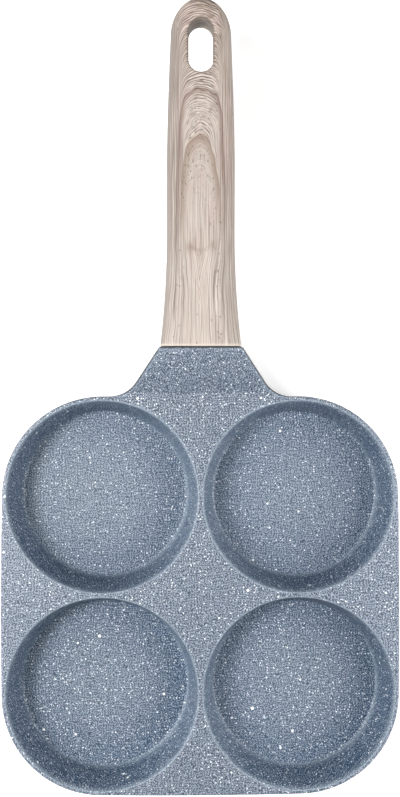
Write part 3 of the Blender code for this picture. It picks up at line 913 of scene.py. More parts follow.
    def material(self, effects: Effects) -> bpy.types.Material:
        """Build the material: arches behind, straight lines beside and in front, and a knot."""
        made, graph, shader = new_material("wood_print", 0.0)
        shader.inputs["Specular IOR Level"].default_value = self.gloss
        place = graph.coordinates()
        sway = graph.noise(place, self.sway_scale)
        across = graph.sum(graph.attribute("grain_across"), graph.ramp(sway, *self.sway_across))
        along = graph.sum(graph.attribute("grain_along"), graph.ramp(sway, *self.sway_along))
        ring, steep, change = self.rings(graph, across, along)
        colour = self.ground_colour(graph, across, along, ring)
        behind_inner = graph.minus(ring, self.inner_arch)
        core = graph.ramp(behind_inner, *self.core_span)
        fork, fork_across = self.fork(graph, across, along)
        long_share = graph.larger(graph.ramp(steep, *self.steep_span),
                                  graph.larger(graph.attribute("grain_front"), core))
        within = graph.ramp(behind_inner, *self.inner_point)
        pointed = graph.minus(ring, graph.times(graph.absolute(across), within))
        ring_share = graph.minus(1.0, long_share)
        dash_share = graph.times(ring_share, graph.ramp(ring, *self.dash_span))
        weaker = graph.ramp(behind_inner, *self.inner_weaker)
        ring_share = graph.minus(ring_share, graph.times(dash_share, self.dash_share))
        straight_share = graph.times(long_share, graph.minus(1.0, fork))
        beside = graph.sum(across, graph.times(along, self.beside_slant))
        for lines, place_across, place_along, share in (
                (self.ring_lines, pointed, beside, graph.times(ring_share, weaker)),
                (self.dash_lines, pointed, across, graph.times(dash_share, weaker)),
                (self.long_lines, across, along, straight_share),
                (self.fork_lines, fork_across, along, fork)):
            colour = self.draw(graph, effects, colour, place_across, place_along, lines, share)
        colour = self.dark_arches(graph, colour, ring, change, graph.ramp(along, *self.accent_end))
        knot = graph.times(graph.attribute("grain_knot"), self.knot_share)
        colour = graph.mix(knot, colour, self.knot)
        # painted shade down the handle's sides and along its outer edge, a painted highlight at its front
        # end, and the hang hole wall's darker tone
        for zone, tone in (("grain_side", self.side_and_shade_tone), ("grain_edge", self.edge_shade_tone),
                           ("grain_light", self.pale_and_highlight_tone), ("grain_bare", self.hole_plastic_and_shade)):
            colour = graph.mix(graph.attribute(zone), colour, tone)
        flecks = self.flecks(graph, effects, across, along, behind_inner)
        colour = graph.mix(graph.times(flecks, self.fleck_share), colour, self.fleck)
        uneven = effects.uneven(graph, place, broad=0.010, fine=0.002)
        rough = graph.ramp(uneven, 0.0, 1.0, *self.roughness)
        finish_surface(graph, shader, colour, rough, graph.sum(uneven, flecks), self.depth)
        return made

    def ground_colour(self, graph: Graph, across: Socket, along: Socket, ring: Socket) -> Socket:
        """Colour under the lines: paler in front, browner behind, uneven from side to side, and with painted
        shade down the left side towards the front.
        """
        behind = graph.times(graph.ramp(ring, *self.behind_rings), graph.ramp(along, *self.behind_along))
        drift = graph.vector(graph.times(across, self.drift_across), graph.times(along, self.drift_along))
        drift = graph.ramp(graph.noise(drift, 1.0), *self.drift_span)
        patches = graph.vector(across, graph.times(along, self.patch_stretch))
        patches = graph.noise(patches, self.patch_scale, detail=1.0)
        rosy = graph.times(graph.ramp(patches, *self.patch_span), graph.ramp(along, *self.rosy))
        start, end = self.side_span
        # painted shade down the left side towards the front end
        left = graph.times(graph.ramp(across, -start, -end), graph.ramp(along, *self.painted_left_shade))
        right = graph.ramp(across, start, end)
        right_dark = graph.times(right, graph.ramp(along, *self.right_dark))
        right_pale = graph.times(right, graph.ramp(along, *self.right_pale))
        colour = self.ground
        for share, tone in ((graph.ramp(along, *self.front_span), self.ground_front),
                            (graph.times(behind, self.behind_share), self.ground_behind),
                            (graph.times(drift, self.drift_share), self.side_and_shade_tone),
                            (rosy, self.rosy_tone), (left, self.side_and_shade_tone),
                            (right_dark, self.side_and_shade_tone), (right_pale, self.pale_and_highlight_tone)):
            colour = graph.mix(share, colour, tone)
        return colour

    def fork(self, graph: Graph, across: Socket, along: Socket) -> tuple[Socket, Socket]:
        """Fork below the knot, whose lines are V shapes: the way from the crown line plus a share of along.

        Args:
            graph: graph to build in.
            across: signed way round from the crown line.
            along: distance from the tip.

        Returns:
            Mask of the fork, and the coordinate that is constant along its lines.
        """
        rise = graph.times(graph.minus(along, self.knot_along), self.fork_half_width / self.fork_length)
        coordinate = graph.sum(graph.absolute(across), rise)
        edge = self.fork_half_width + self.fork_edge
        inside = graph.ramp(coordinate, self.fork_half_width, edge, 1.0, 0.0)
        past_knot = graph.ramp(along, *self.fork_start)
        return graph.times(inside, past_knot), coordinate

    def flecks(self, graph: Graph, effects: Effects, across: Socket, along: Socket,
               behind_inner: Socket) -> Socket:
        """Small dark flecks: a few all over, and many under the top of the inner arch."""
        stretched = graph.vector(across, graph.times(along, self.few_stretch))
        few = effects.specks(graph, stretched, cell=1.5, radius=0.24, share=0.17, soft=0.08)
        closer = graph.vector(across, graph.times(along, self.many_stretch), self.many_shift)
        many = effects.specks(graph, closer, cell=1.10, radius=0.42, share=0.80, soft=0.16)
        under_arch = graph.times(graph.ramp(behind_inner, *self.many_start),
                                 graph.ramp(behind_inner, *self.many_end))
        return graph.larger(few, graph.times(many, under_arch))

    def draw(self, graph: Graph, effects: Effects, colour: Socket, across: Socket, along: Socket,
             lines: tuple[GrainLine, ...], share: Socket) -> Socket:
        """Draw families of grain lines over a colour and hand on the result."""
        for family in lines:
            mask = graph.group(effects.grain_lines, {
                "Across": across, "Along": along, "Pitch": family.pitch, "Length": family.length,
                "Sharpness": family.sharpness, "Wander": family.wander, "Cover": family.cover})
            mask = graph.times(mask, graph.times(share, family.strength))
            colour = graph.mix(mask, colour, family.tone)
        return colour

    def dark_arches(self, graph: Graph, colour: Socket, ring: Socket, change: Socket,
                    kept: Socket) -> Socket:
        """Draw the two dark arches, each crisp on its outer side and fading inwards."""
        for start, accent in ((0.0, self.outer_accent), (self.inner_arch, self.inner_accent)):
            inwards = graph.over(graph.minus(ring, start), change)
            rise = graph.ramp(inwards, *self.accent_edge)
            fall = graph.ramp(inwards, self.accent_edge[1], accent.reach, 1.0, 0.0)
            fade = graph.math("POWER", fall, accent.power)
            colour = graph.mix(graph.times(rise, fade, kept, accent.strength), colour, accent.tone)
        return colour


@dataclass(frozen=True)
class TurnedSteel:
    """Bare or plated steel with fine marks of turning or rolling; lengths in metres."""

    name: str
    bright: Colour
    dull: Colour
    roughness: Span
    pitch: float = 0.0004
    depth: float = 0.00001

    def material(self, effects: Effects) -> bpy.types.Material:
        """Build the material: metal whose tone and gloss vary along its tool marks."""
        made, graph, shader = new_material(self.name, 1.0)
        place = graph.coordinates()
        marks = graph.group(effects.turning, {"Vector": place, "Pitch": self.pitch})
        uneven = effects.uneven(graph, place, broad=0.008, fine=0.001)
        tone = graph.times(graph.sum(marks, uneven), 0.5)
        colour = graph.mix(tone, self.dull, self.bright)
        rough = graph.ramp(marks, 0.3, 0.7, *self.roughness)
        finish_surface(graph, shader, colour, rough, marks, self.depth)
        return made


@dataclass(frozen=True)
class StudioFloor:
    """Plain pale floor, lit a little from within like a light table."""

    pale: Colour = (0.86, 0.86, 0.86)
    paler: Colour = (0.90, 0.90, 0.90)
    roughness: float = 0.9
    glow: float = 0.45

    def material(self, effects: Effects) -> bpy.types.Material:
        """Build the material: matt white with barely uneven tone."""
        made, graph, shader = new_material("studio_floor", 0.0)
        uneven = effects.uneven(graph, graph.coordinates(), broad=0.4, fine=0.05)
        tone = graph.mix(uneven, self.pale, self.paler)
        graph.tree.links.new(tone, shader.inputs["Base Color"])
        for name, value in (("Roughness", self.roughness), ("Emission Color", WHITE),
                            ("Emission Strength", self.glow)):
            shader.inputs[name].default_value = value
        return made


@dataclass(frozen=True)
class WearAndPaintedLight:
    """Where the painted highlight lines, painted light and painted shade go and where the coating is bare;
    lengths in metres, the rest as shares.

    A span is the stretch over which something comes or goes.
    """

    wall_tolerance: float = 0.0004
    inner_wall_painted_light: float = 0.16
    inner_wall_light_span: Span = (0.2, 1.0)
    rim_outset: float = 0.0002
    rim_width: float = 0.00035
    foot_outset: float = 0.0001
    foot_width: float = 0.00040
    foot_light: tuple[float, float] = (0.6, -0.8)
    foot_light_span: Span = (-0.2, 0.9)
    foot_least: float = 0.38
    line_inset: float = 0.0013
    line_reach: float = 0.0004
    line_end: float = 0.0015
    floor_height: float = 0.0003
    shade_start: float = 0.3
    shade_height_span: Span = (0.0002, 0.0005)
    shade_mean: float = 1.1
    shade_swing: float = 0.28
    near_cup_shade: float = 1.26
    deck_side_span: Span = (0.065, 0.085)
    neck_span: float = 0.003
    flank_span: Span = (0.0010, 0.0020)
    flank_bare_span: Span = (0.00001, 0.00004)
    end_bare_span: Span = (0.00005, 0.00020)
    rim_bare_span: Span = (0.00015, 0.00032)
    rim_bare_share: float = 0.65
    past_cup_rim: float = 0.0005
    deck_height: float = 0.0005


@dataclass
class PanBody:
    """Cast body: four cups, the deck between them, the rising neck and the handle's lug.

    The fillet at the cups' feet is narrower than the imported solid's 2.4 mm, because the pale line
    there is narrow in the photograph.
    """

    layout: Layout
    cup_rim_radius: float = 0.0470
    cup_floor_radius: float = 0.0419
    cup_depth: float = 0.0200
    cup_floor_fillet: float = 0.0016
    cup_rim_round: float = 0.0006
    cup_wall: float = 0.0024
    cup_floor_thickness: float = 0.0035
    cup_base_round: float = 0.0022
    rim_margin: float = 0.0021
    side_bulge: float = 0.0004
    deck_thickness: float = 0.0038
    deck_edge_round: float = 0.0009
    deck_lower_round: float = 0.0005
    neck_end_width: float = 0.0402
    neck_end_round: float = 0.0018
    neck_rise: float = 0.0090
    neck_end_thickness: float = 0.0200
    neck_side_angle: float = math.radians(55.5)
    neck_side_fillet: float = 0.0160
    neck_lower_round: float = 0.0016
    neck_bend_setback: float = 0.0015
    neck_bend_length: float = 0.0040
    neck_skin: float = 0.0040
    neck_side_wall: float = 0.0035
    neck_end_wall: float = 0.0050
    recess_radius: float = 0.0338
    recess_depth: float = 0.0009
    wear_and_light: WearAndPaintedLight = WearAndPaintedLight()
    deck_rows: int = 34
    deck_row_crowding: float = 1.4
    under_rows: int = 18
    wall_rows: int = 6
    outer_wall_rows: int = 12
    arc_steps: int = 6
    corner_steps: int = 44
    side_steps: int = 16
    sweep_steps: int = 14
    neck_side_steps: int = 18
    neck_end_steps: int = 8
    seam_points: int = 40
    floor_shares: tuple[float, ...] = (0, 0.25, 0.5, 0.75, 0.9)
    flank_shares: tuple[float, ...] = (0.34, 0.67, 1.0)

    def __post_init__(self) -> None:
        """Work out the levels and places that follow from the sizes."""
        self.rim_level = self.cup_floor_thickness + self.cup_depth
        self.deck_underside = self.rim_level - self.deck_thickness
        self.corner_radius = self.cup_rim_radius + self.rim_margin
        self.deck_end = self.layout.half_pitch + self.corner_radius
        self.joint = self.layout.joint - self.layout.middle
        self.neck_bend = self.deck_end + self.neck_bend_setback
        self.lean = (self.cup_rim_radius - self.cup_floor_radius) / self.cup_depth
        self.centre = np.array([self.layout.half_pitch, self.layout.half_pitch])

    def neck_lift(self, y: np.ndarray) -> np.ndarray:
        """Rise of the neck's top: a parabola across the bend, then a straight ramp to the joint."""
        slope = self.neck_rise / (self.joint - self.neck_bend)
        past = y - self.neck_bend
        bend = slope * (past + self.neck_bend_length) ** 2 / (4 * self.neck_bend_length)
        return np.where(np.abs(past) < self.neck_bend_length, bend, np.maximum(slope * past, 0))

    def neck_drop(self, y: np.ndarray) -> np.ndarray:
        """Fall of the neck's underside: straight from the deck's end to the joint."""
        end_drop = self.neck_end_thickness - self.neck_rise - self.deck_thickness
        return end_drop * np.maximum(y - self.deck_end, 0) / (self.joint - self.deck_end)

    def lower_round(self, y: np.ndarray, side: Side) -> np.ndarray:
        """Radius of the lower edge, which grows from the deck's to the neck's across the bend."""
        share = smooth_step(y, self.neck_bend - self.neck_bend_length, self.neck_bend + self.neck_bend_length)
        growth = (self.neck_lower_round - self.deck_lower_round) * share
        return self.deck_lower_round + growth * (side is Side.FAR)

    def outline(self, side: Side) -> tuple[np.ndarray, np.ndarray]:
        """Outer edge of a quarter of the deck, from the cross line round to the centre line.

        The sides are very flat arcs, the corner is an arc about the cup's centre, and on the far
        side the edge sweeps into the neck's slanted side and rounds into its end.

        Args:
            side: whether the quarter carries half of the neck.

        Returns:
            The points and, for each, the unit vector pointing straight out.
        """
        half_pitch = self.layout.half_pitch
        lean = 2 * math.atan(self.side_bulge / half_pitch)
        side_radius = half_pitch / math.sin(lean) + self.corner_radius
        side_centre = self.deck_end + self.side_bulge - side_radius
        flank = arc((side_centre, 0), side_radius, 0, lean, self.side_steps)
        if side is Side.NEAR:
            corner = arc((half_pitch,) * 2, self.corner_radius, lean, QUARTER - lean, self.corner_steps)
            front = arc((0, side_centre), side_radius, QUARTER - lean, QUARTER, self.side_steps)
            points = np.concatenate([flank, corner[1:], front[1:]])
        else:
            corner = arc((half_pitch,) * 2, self.corner_radius, lean, QUARTER, self.corner_steps)
            end = np.array([self.neck_end_width / 2, self.joint])
            slant = (self.joint - self.deck_end) / math.tan(self.neck_side_angle)
            root = np.array([end[0] + slant, self.deck_end])
            sweep = corner_arc(corner[-1], root, end, self.neck_side_fillet, self.sweep_steps)
            tip = corner_arc(root, end, (0, self.joint), self.neck_end_round, self.neck_end_steps)
            ramp = line(tuple(sweep[-1]), tuple(tip[0]), self.neck_side_steps)
            last = line(tuple(tip[-1]), (0, self.joint), self.neck_end_steps)
            points = np.concatenate([flank, corner[1:], sweep, ramp[1:-1], tip, last[1:]])
        tangent = np.gradient(points, axis=0)
        tangent[0] = (0, 1)
        tangent[-1] = (-1, 0)
        normal = np.stack([tangent[:, 1], -tangent[:, 0]], axis=1)
        return points, normal / np.linalg.norm(normal, axis=1, keepdims=True)

    def seam(self, end: float) -> np.ndarray:
        """Distances along a quarter's straight edge, spaced by equal angles about the cup."""
        half_pitch = self.layout.half_pitch
        last = math.atan((end - half_pitch) / half_pitch)
        angles = np.linspace(-math.pi / 4, last, self.seam_points)
        distances = half_pitch + half_pitch * np.tan(angles)
        distances[0] = 0
        distances[-1] = end
        return distances

    def boundary(self, side: Side, inset: float | np.ndarray) -> np.ndarray:
        """Whole closed edge of a quarter: cross line, outer edge moved in, and centre line."""
        points, normal = self.outline(side)
        outer = points - normal * np.broadcast_to(inset, len(points))[:, None]
        cross = self.seam(outer[0, 0])
        centre = self.seam(outer[-1, 1])[::-1]
        first = np.stack([cross, np.zeros_like(cross)], axis=1)
        last = np.stack([np.zeros_like(centre), centre], axis=1)
        return np.concatenate([first[:-1], outer, last[1:]])

    def spread(self, boundary: np.ndarray, radii: np.ndarray) -> np.ndarray:
        """Points at the given distances from the cup's centre towards each edge point, held inside."""
        reach = boundary - self.centre
        distance = np.linalg.norm(reach, axis=1)
        held = np.minimum(radii, distance)
        return self.centre + reach / distance[:, None] * held[..., None]

    def cup_profile(self) -> np.ndarray:
        """Radius and height from the cup's floor over its filleted foot and wall to the rim."""
        floor = self.cup_floor_thickness
        foot_corner = (self.cup_floor_radius, floor)
        rim_corner = (self.cup_rim_radius, self.rim_level)
        foot = corner_arc((0, floor), foot_corner, rim_corner, self.cup_floor_fillet, self.arc_steps)
        beyond = (self.corner_radius, self.rim_level)
        rim = corner_arc(foot_corner, rim_corner, beyond, self.cup_rim_round, self.arc_steps)
        wall = line(tuple(foot[-1]), tuple(rim[0]), self.wall_rows)
        shares = np.array(self.floor_shares)
        bottom = np.stack([shares * foot[0, 0], np.full(len(shares), floor)], axis=1)
        return np.concatenate([bottom, foot, wall[1:-1], rim])

    def top_sheet(self, side: Side) -> np.ndarray:
        """Grid from the cup's centre over floor, wall, rim and deck out to the edge's rounding."""
        boundary = self.boundary(side, self.deck_edge_round)
        profile = self.cup_profile()
        inner = self.spread(boundary, profile[:, :1] * np.ones(len(boundary)))
        inner = level(inner, profile[:, 1:])
        share = 1 - np.linspace(1, 0, self.deck_rows + 1)[1:, None, None] ** self.deck_row_crowding
        deck = level(inner[-1, :, :2] * (1 - share) + boundary * share, self.rim_level)
        grid = np.concatenate([inner, deck])
        if side is Side.FAR:
            grid[..., 2] += self.neck_lift(grid[..., 1])
        return grid

    def under_profile(self) -> np.ndarray:
        """Radius and height from the disc's recess over the base ring and up the cup's outside."""
        top = (self.outside_radius(self.deck_underside), self.deck_underside)
        foot = (self.outside_radius(0.0), 0.0)
        heel = corner_arc((0, 0), foot, top, self.cup_base_round, self.arc_steps)
        wall = line(tuple(heel[-1]), top, self.outer_wall_rows)
        recess = np.array([[0, self.recess_depth], [self.recess_radius / 2, self.recess_depth],
                           [self.recess_radius, self.recess_depth], [self.recess_radius, 0]])
        return np.concatenate([recess, heel, wall[1:]])

    def outside_radius(self, height: float) -> float:
        """Radius of a cup's outside at a height: the inner wall's plus the wall square to its lean."""
        inner = self.cup_rim_radius - (self.rim_level - height) * self.lean
        return inner + self.cup_wall * math.hypot(1, self.lean)

    def under_sheet(self, side: Side) -> np.ndarray:
        """Grid from the cup's base up its outside and along the deck's underside to the lower edge."""
        points, _ = self.outline(side)
        boundary = self.boundary(side, self.lower_round(points[:, 1], side))
        profile = self.under_profile()
        inner = self.spread(boundary, profile[:, :1] * np.ones(len(boundary)))
        distance = np.linalg.norm(boundary - self.centre, axis=1)
        meeting = self.deck_underside - (self.outside_radius(self.deck_underside) - distance) / self.lean
        inner = level(inner, np.minimum(profile[:, 1:], meeting[None]))
        close = np.linalg.norm(inner[-1, :, :2] - boundary, axis=1) < SNAP_DISTANCE
        inner[-1, close, :2] = boundary[close]
        share = np.linspace(0, 1, self.under_rows + 1)[1:, None, None]
        plan = inner[-1, :, :2] * (1 - share) + boundary * share
        heights = np.repeat(inner[-1:, :, 2], self.under_rows, axis=0)
        heights[-1, boundary.min(axis=1) > WELD_DISTANCE] = self.deck_underside
        under = level(plan, heights)
        grid = np.concatenate([inner, under])
        if side is Side.FAR:
            grid[..., 2] -= self.neck_drop(grid[..., 1])
        return grid

    def edge_strip(self, side: Side) -> tuple[np.ndarray, np.ndarray]:
        """Two strips round the outer edge: the coated upper rounding, and the flank below it.

        A rounding row is moved in by radius times one minus the sine of its angle, and down by
        radius times one minus the cosine.

        Args:
            side: which quarter.

        Returns:
            The upper strip and the flank with the lower rounding.
        """
        points, normal = self.outline(side)
        lower = self.lower_round(points[:, 1], side)
        upper = self.deck_edge_round
        top_rows = []
        for angle in np.linspace(0, QUARTER, self.arc_steps + 1):
            plan = points - normal * upper * (1 - math.sin(angle))
            top_rows.append(self.shifted(plan, self.rim_level - upper * (1 - math.cos(angle)), side, 1.0))
        flank_rows = [top_rows[-1]]
        high = self.rim_level - upper
        low = self.deck_underside + lower
        for share in self.flank_shares:
            flank_rows.append(self.shifted(points, high * (1 - share) + low * share, side, 1 - share))
        for angle in np.linspace(QUARTER, 0, self.arc_steps + 1)[1:]:
            plan = points - normal * (lower * (1 - math.sin(angle)))[:, None]
            height = self.deck_underside + lower * (1 - math.cos(angle))
            flank_rows.append(self.shifted(plan, height, side, 0.0))
        return np.stack(top_rows), np.stack(flank_rows)

    def shifted(self, plan: np.ndarray, height: float | np.ndarray, side: Side, share: float) -> np.ndarray:
        """Edge points at a height, moved by the given share of the top's rise and the rest of the fall."""
        placed = level(plan, height)
        if side is Side.FAR:
            y = plan[:, 1]
            placed[:, 2] += share * self.neck_lift(y) - (1 - share) * self.neck_drop(y)
        return placed

    def sheets(self) -> Sheets:
        """All four quarters: each is worked out once and mirrored across the centre line."""
        sheets = Sheets()
        for side in Side:
            upper, flank = self.edge_strip(side)
            for grid, coat in ((self.top_sheet(side), Coat.INSIDE), (upper, Coat.INSIDE),
                               (flank, Coat.OUTSIDE), (self.under_sheet(side), Coat.OUTSIDE)):
                for mirror in (1, -1):
                    placed = grid * np.array([mirror, side.value, 1.0])
                    placed[..., 1] += self.layout.middle
                    sheets.add(placed, coat.value)
        return sheets

    def pocket(self) -> bpy.types.Mesh:
        """Cutter for the cored hollow under the neck: a tapering box, open at the bottom."""
        slant = 1 / math.tan(self.neck_side_angle)
        inset = self.neck_side_wall / math.sin(self.neck_side_angle)
        rings = []
        for y in (self.neck_bend + self.neck_bend_length, self.joint - self.neck_end_wall):
            half_width = self.neck_end_width / 2 + (self.joint - y) * slant - inset
            top = self.rim_level + float(self.neck_lift(np.array(y))) - self.neck_skin
            low = self.rim_level - self.neck_end_thickness
            corners = np.array([[-half_width, top], [half_width, top], [half_width, low], [-half_width, low]])
            rings.append(np.stack([corners[:, 0], np.full(4, y + self.layout.middle), corners[:, 1]], axis=1))
        return ring_stack("neck_pocket", np.stack(rings), Coat.OUTSIDE.value)

    def build(self, coating: bpy.types.Material, enamel: bpy.types.Material, lug: bpy.types.Mesh,
              lug_hole: bpy.types.Mesh) -> None:
        """Make the body's mesh with its lug and pocket, and store the masks that its coating reads.

        Args:
            coating: finish of the inside and the deck.
            enamel: finish of the outside.
            lug: closed form of the tongue that carries the handle.
            lug_hole: cutter for the screw's hole in it.
        """
        mesh = carve(self.sheets().mesh("cast_body"), [lug], [self.pocket(), lug_hole], [coating, enamel])
        hold_inside(mesh, "pan_body")
        self.store_masks(mesh)
        new_piece("cast_body", mesh, "pan_body")

    def neck_highlight_line(self, place: np.ndarray, height: np.ndarray) -> np.ndarray:
        """Mask of a painted highlight line just inside the neck's outer edge: a peak in the distance to the
        edge.

        Args:
            place: plan points, measured from the middle of the four cups.
            height: their heights.

        Returns:
            One number for each point.
        """
        points, _ = self.outline(Side.FAR)
        near = (place[:, 1] > self.deck_end) & (height > self.rim_level)
        gap = np.full(len(place), np.inf)
        gap[near] = np.linalg.norm(np.abs(place[near])[:, None] - points[None], axis=2).min(axis=1)
        peak = np.clip(1 - np.abs(gap - self.wear_and_light.line_inset) / self.wear_and_light.line_reach, 0, 1)
        return peak * smooth_step(self.joint - place[:, 1], 0.0, self.wear_and_light.line_end)

    def store_masks(self, mesh: bpy.types.Mesh) -> None:
        """Store where the cup walls and the deck are, where the painted highlight lines, painted light and
        painted shade go, and where the coating is bare.
        """
        wear_and_light = self.wear_and_light
        points = vertex_array(mesh)
        place = points[:, :2] - (0, self.layout.middle)
        along = place[:, 1]
        over_floor = points[:, 2] - self.cup_floor_thickness
        below_rim = self.rim_level - points[:, 2]
        below_top = below_rim + self.neck_lift(along)
        outwards = np.abs(place) - self.centre
        radius = np.linalg.norm(outwards, axis=1)
        reach = np.maximum(radius, WELD_DISTANCE)
        direction = (place - np.sign(place) * self.centre) / reach[:, None]
        top = over_floor > -WELD_DISTANCE
        beyond_rim = radius > self.cup_rim_radius
        near_wall = np.abs(radius - self.cup_rim_radius + below_rim * self.lean) < wear_and_light.wall_tolerance
        # painted light: walls nearer the pan's centre line get less of the walls' painted shade
        inwards = smooth_step(-outwards[:, 0] / reach, *wear_and_light.inner_wall_light_span)
        # cup walls below the rim rounding, which get painted shade
        wall = (near_wall & top & (below_rim > self.cup_rim_round)) * (1 - wear_and_light.inner_wall_painted_light * inwards)
        # painted highlights: a line round each cup rim, and one round each foot that is brightest where it
        # faces the light
        rim = bell(radius, self.cup_rim_radius + wear_and_light.rim_outset, wear_and_light.rim_width)
        rim *= below_rim < 1.5 * self.cup_rim_round
        foot = bell(radius, self.cup_floor_radius + wear_and_light.foot_outset, wear_and_light.foot_width)
        foot *= top & (over_floor < self.cup_floor_fillet)
        lit = smooth_step(direction @ np.array(wear_and_light.foot_light), *wear_and_light.foot_light_span)
        foot *= wear_and_light.foot_least + (1 - wear_and_light.foot_least) * lit
        # all painted highlight lines: rims, feet and inside the neck's edge
        thin = np.clip(rim + foot + self.neck_highlight_line(place, points[:, 2]), 0, 1)
        shade = smooth_step(radius, wear_and_light.shade_start * self.cup_floor_radius, self.cup_floor_radius) * top
        shade *= 1 - smooth_step(over_floor, *wear_and_light.shade_height_span)
        shade *= wear_and_light.shade_mean + wear_and_light.shade_swing * direction[:, 0]
        shade *= np.where(along > 0, 1.0, wear_and_light.near_cup_shade)
        far_floor = top & (over_floor < wear_and_light.floor_height) & (along > 0)
        deck_side = smooth_step(np.abs(place[:, 0]), *wear_and_light.deck_side_span) * beyond_rim
        on_flank = smooth_step(self.joint - along, *wear_and_light.flank_span)
        bare = on_flank * smooth_step(below_top, *wear_and_light.flank_bare_span)
        bare += (1 - on_flank) * smooth_step(below_top, *wear_and_light.end_bare_span)
        on_neck = smooth_step(along, self.deck_end, self.deck_end + wear_and_light.neck_span)
        outermost = smooth_step(below_top, *wear_and_light.rim_bare_span)
        outermost *= radius > self.cup_rim_radius + wear_and_light.past_cup_rim
        bare = on_neck * bare + (1 - on_neck) * wear_and_light.rim_bare_share * outermost
        masks = {"cup_wall": wall, "painted_highlight_line": thin, "few_specks": np.maximum(far_floor, deck_side),
                 "floor_shade": shade, "bare_edge": bare,
                 "deck": beyond_rim & (below_top < wear_and_light.deck_height)}
        for name, values in masks.items():
            add_attribute(mesh, name, values)


@dataclass(frozen=True)
class Bow:
    """A place where the straight grain lines bow sideways; lengths in millimetres."""

    amount: float
    span: Span
    across: float
    width: float


@dataclass(frozen=True)
class Spot:
    """One dark spot of the knot; lengths in millimetres."""

    across: float
    along: float
    width: float
    strength: float
    length: float = 2.6


@dataclass(frozen=True)
class GrainZones:
    """Where the print's lines bow and where its zones lie, with the painted shade on the sides and edge and
    the painted highlight at the front; lengths in millimetres, along from the tip.
    """

    bows: tuple[Bow, ...] = (Bow(3.5, (110, 142), 6, 6), Bow(-1.5, (114, 142), -7, 5))
    spots: tuple[Spot, ...] = (
        Spot(-5.4, 117.5, 2.0, 0.70),
        Spot(5.6, 116.5, 1.5, 0.65),
        Spot(-0.5, 121.5, 1.8, 0.45),
    )
    loop_along: float = 119.0
    loop_across: float = -0.4
    loop_curve: float = 0.10
    loop_width: float = 0.9
    loop_reach: float = 4.6
    loop_strength: float = 0.42
    front_span: Span = (110, 121)
    front_slant: float = 0.5
    left_side_shade: float = 0.95
    right_side_shade: float = 0.45
    side_span: Span = (0.82, 0.98)
    edge_level: float = 0.20
    edge_width: float = 0.18
    edge_shade_strength: float = 0.75
    edge_inside: float = 0.5
    edge_tip: float = 8.0
    front_highlight_span: Span = (0.6, 1.8)
    front_highlight_strength: float = 0.7
    hole_wall_strength: float = 0.8


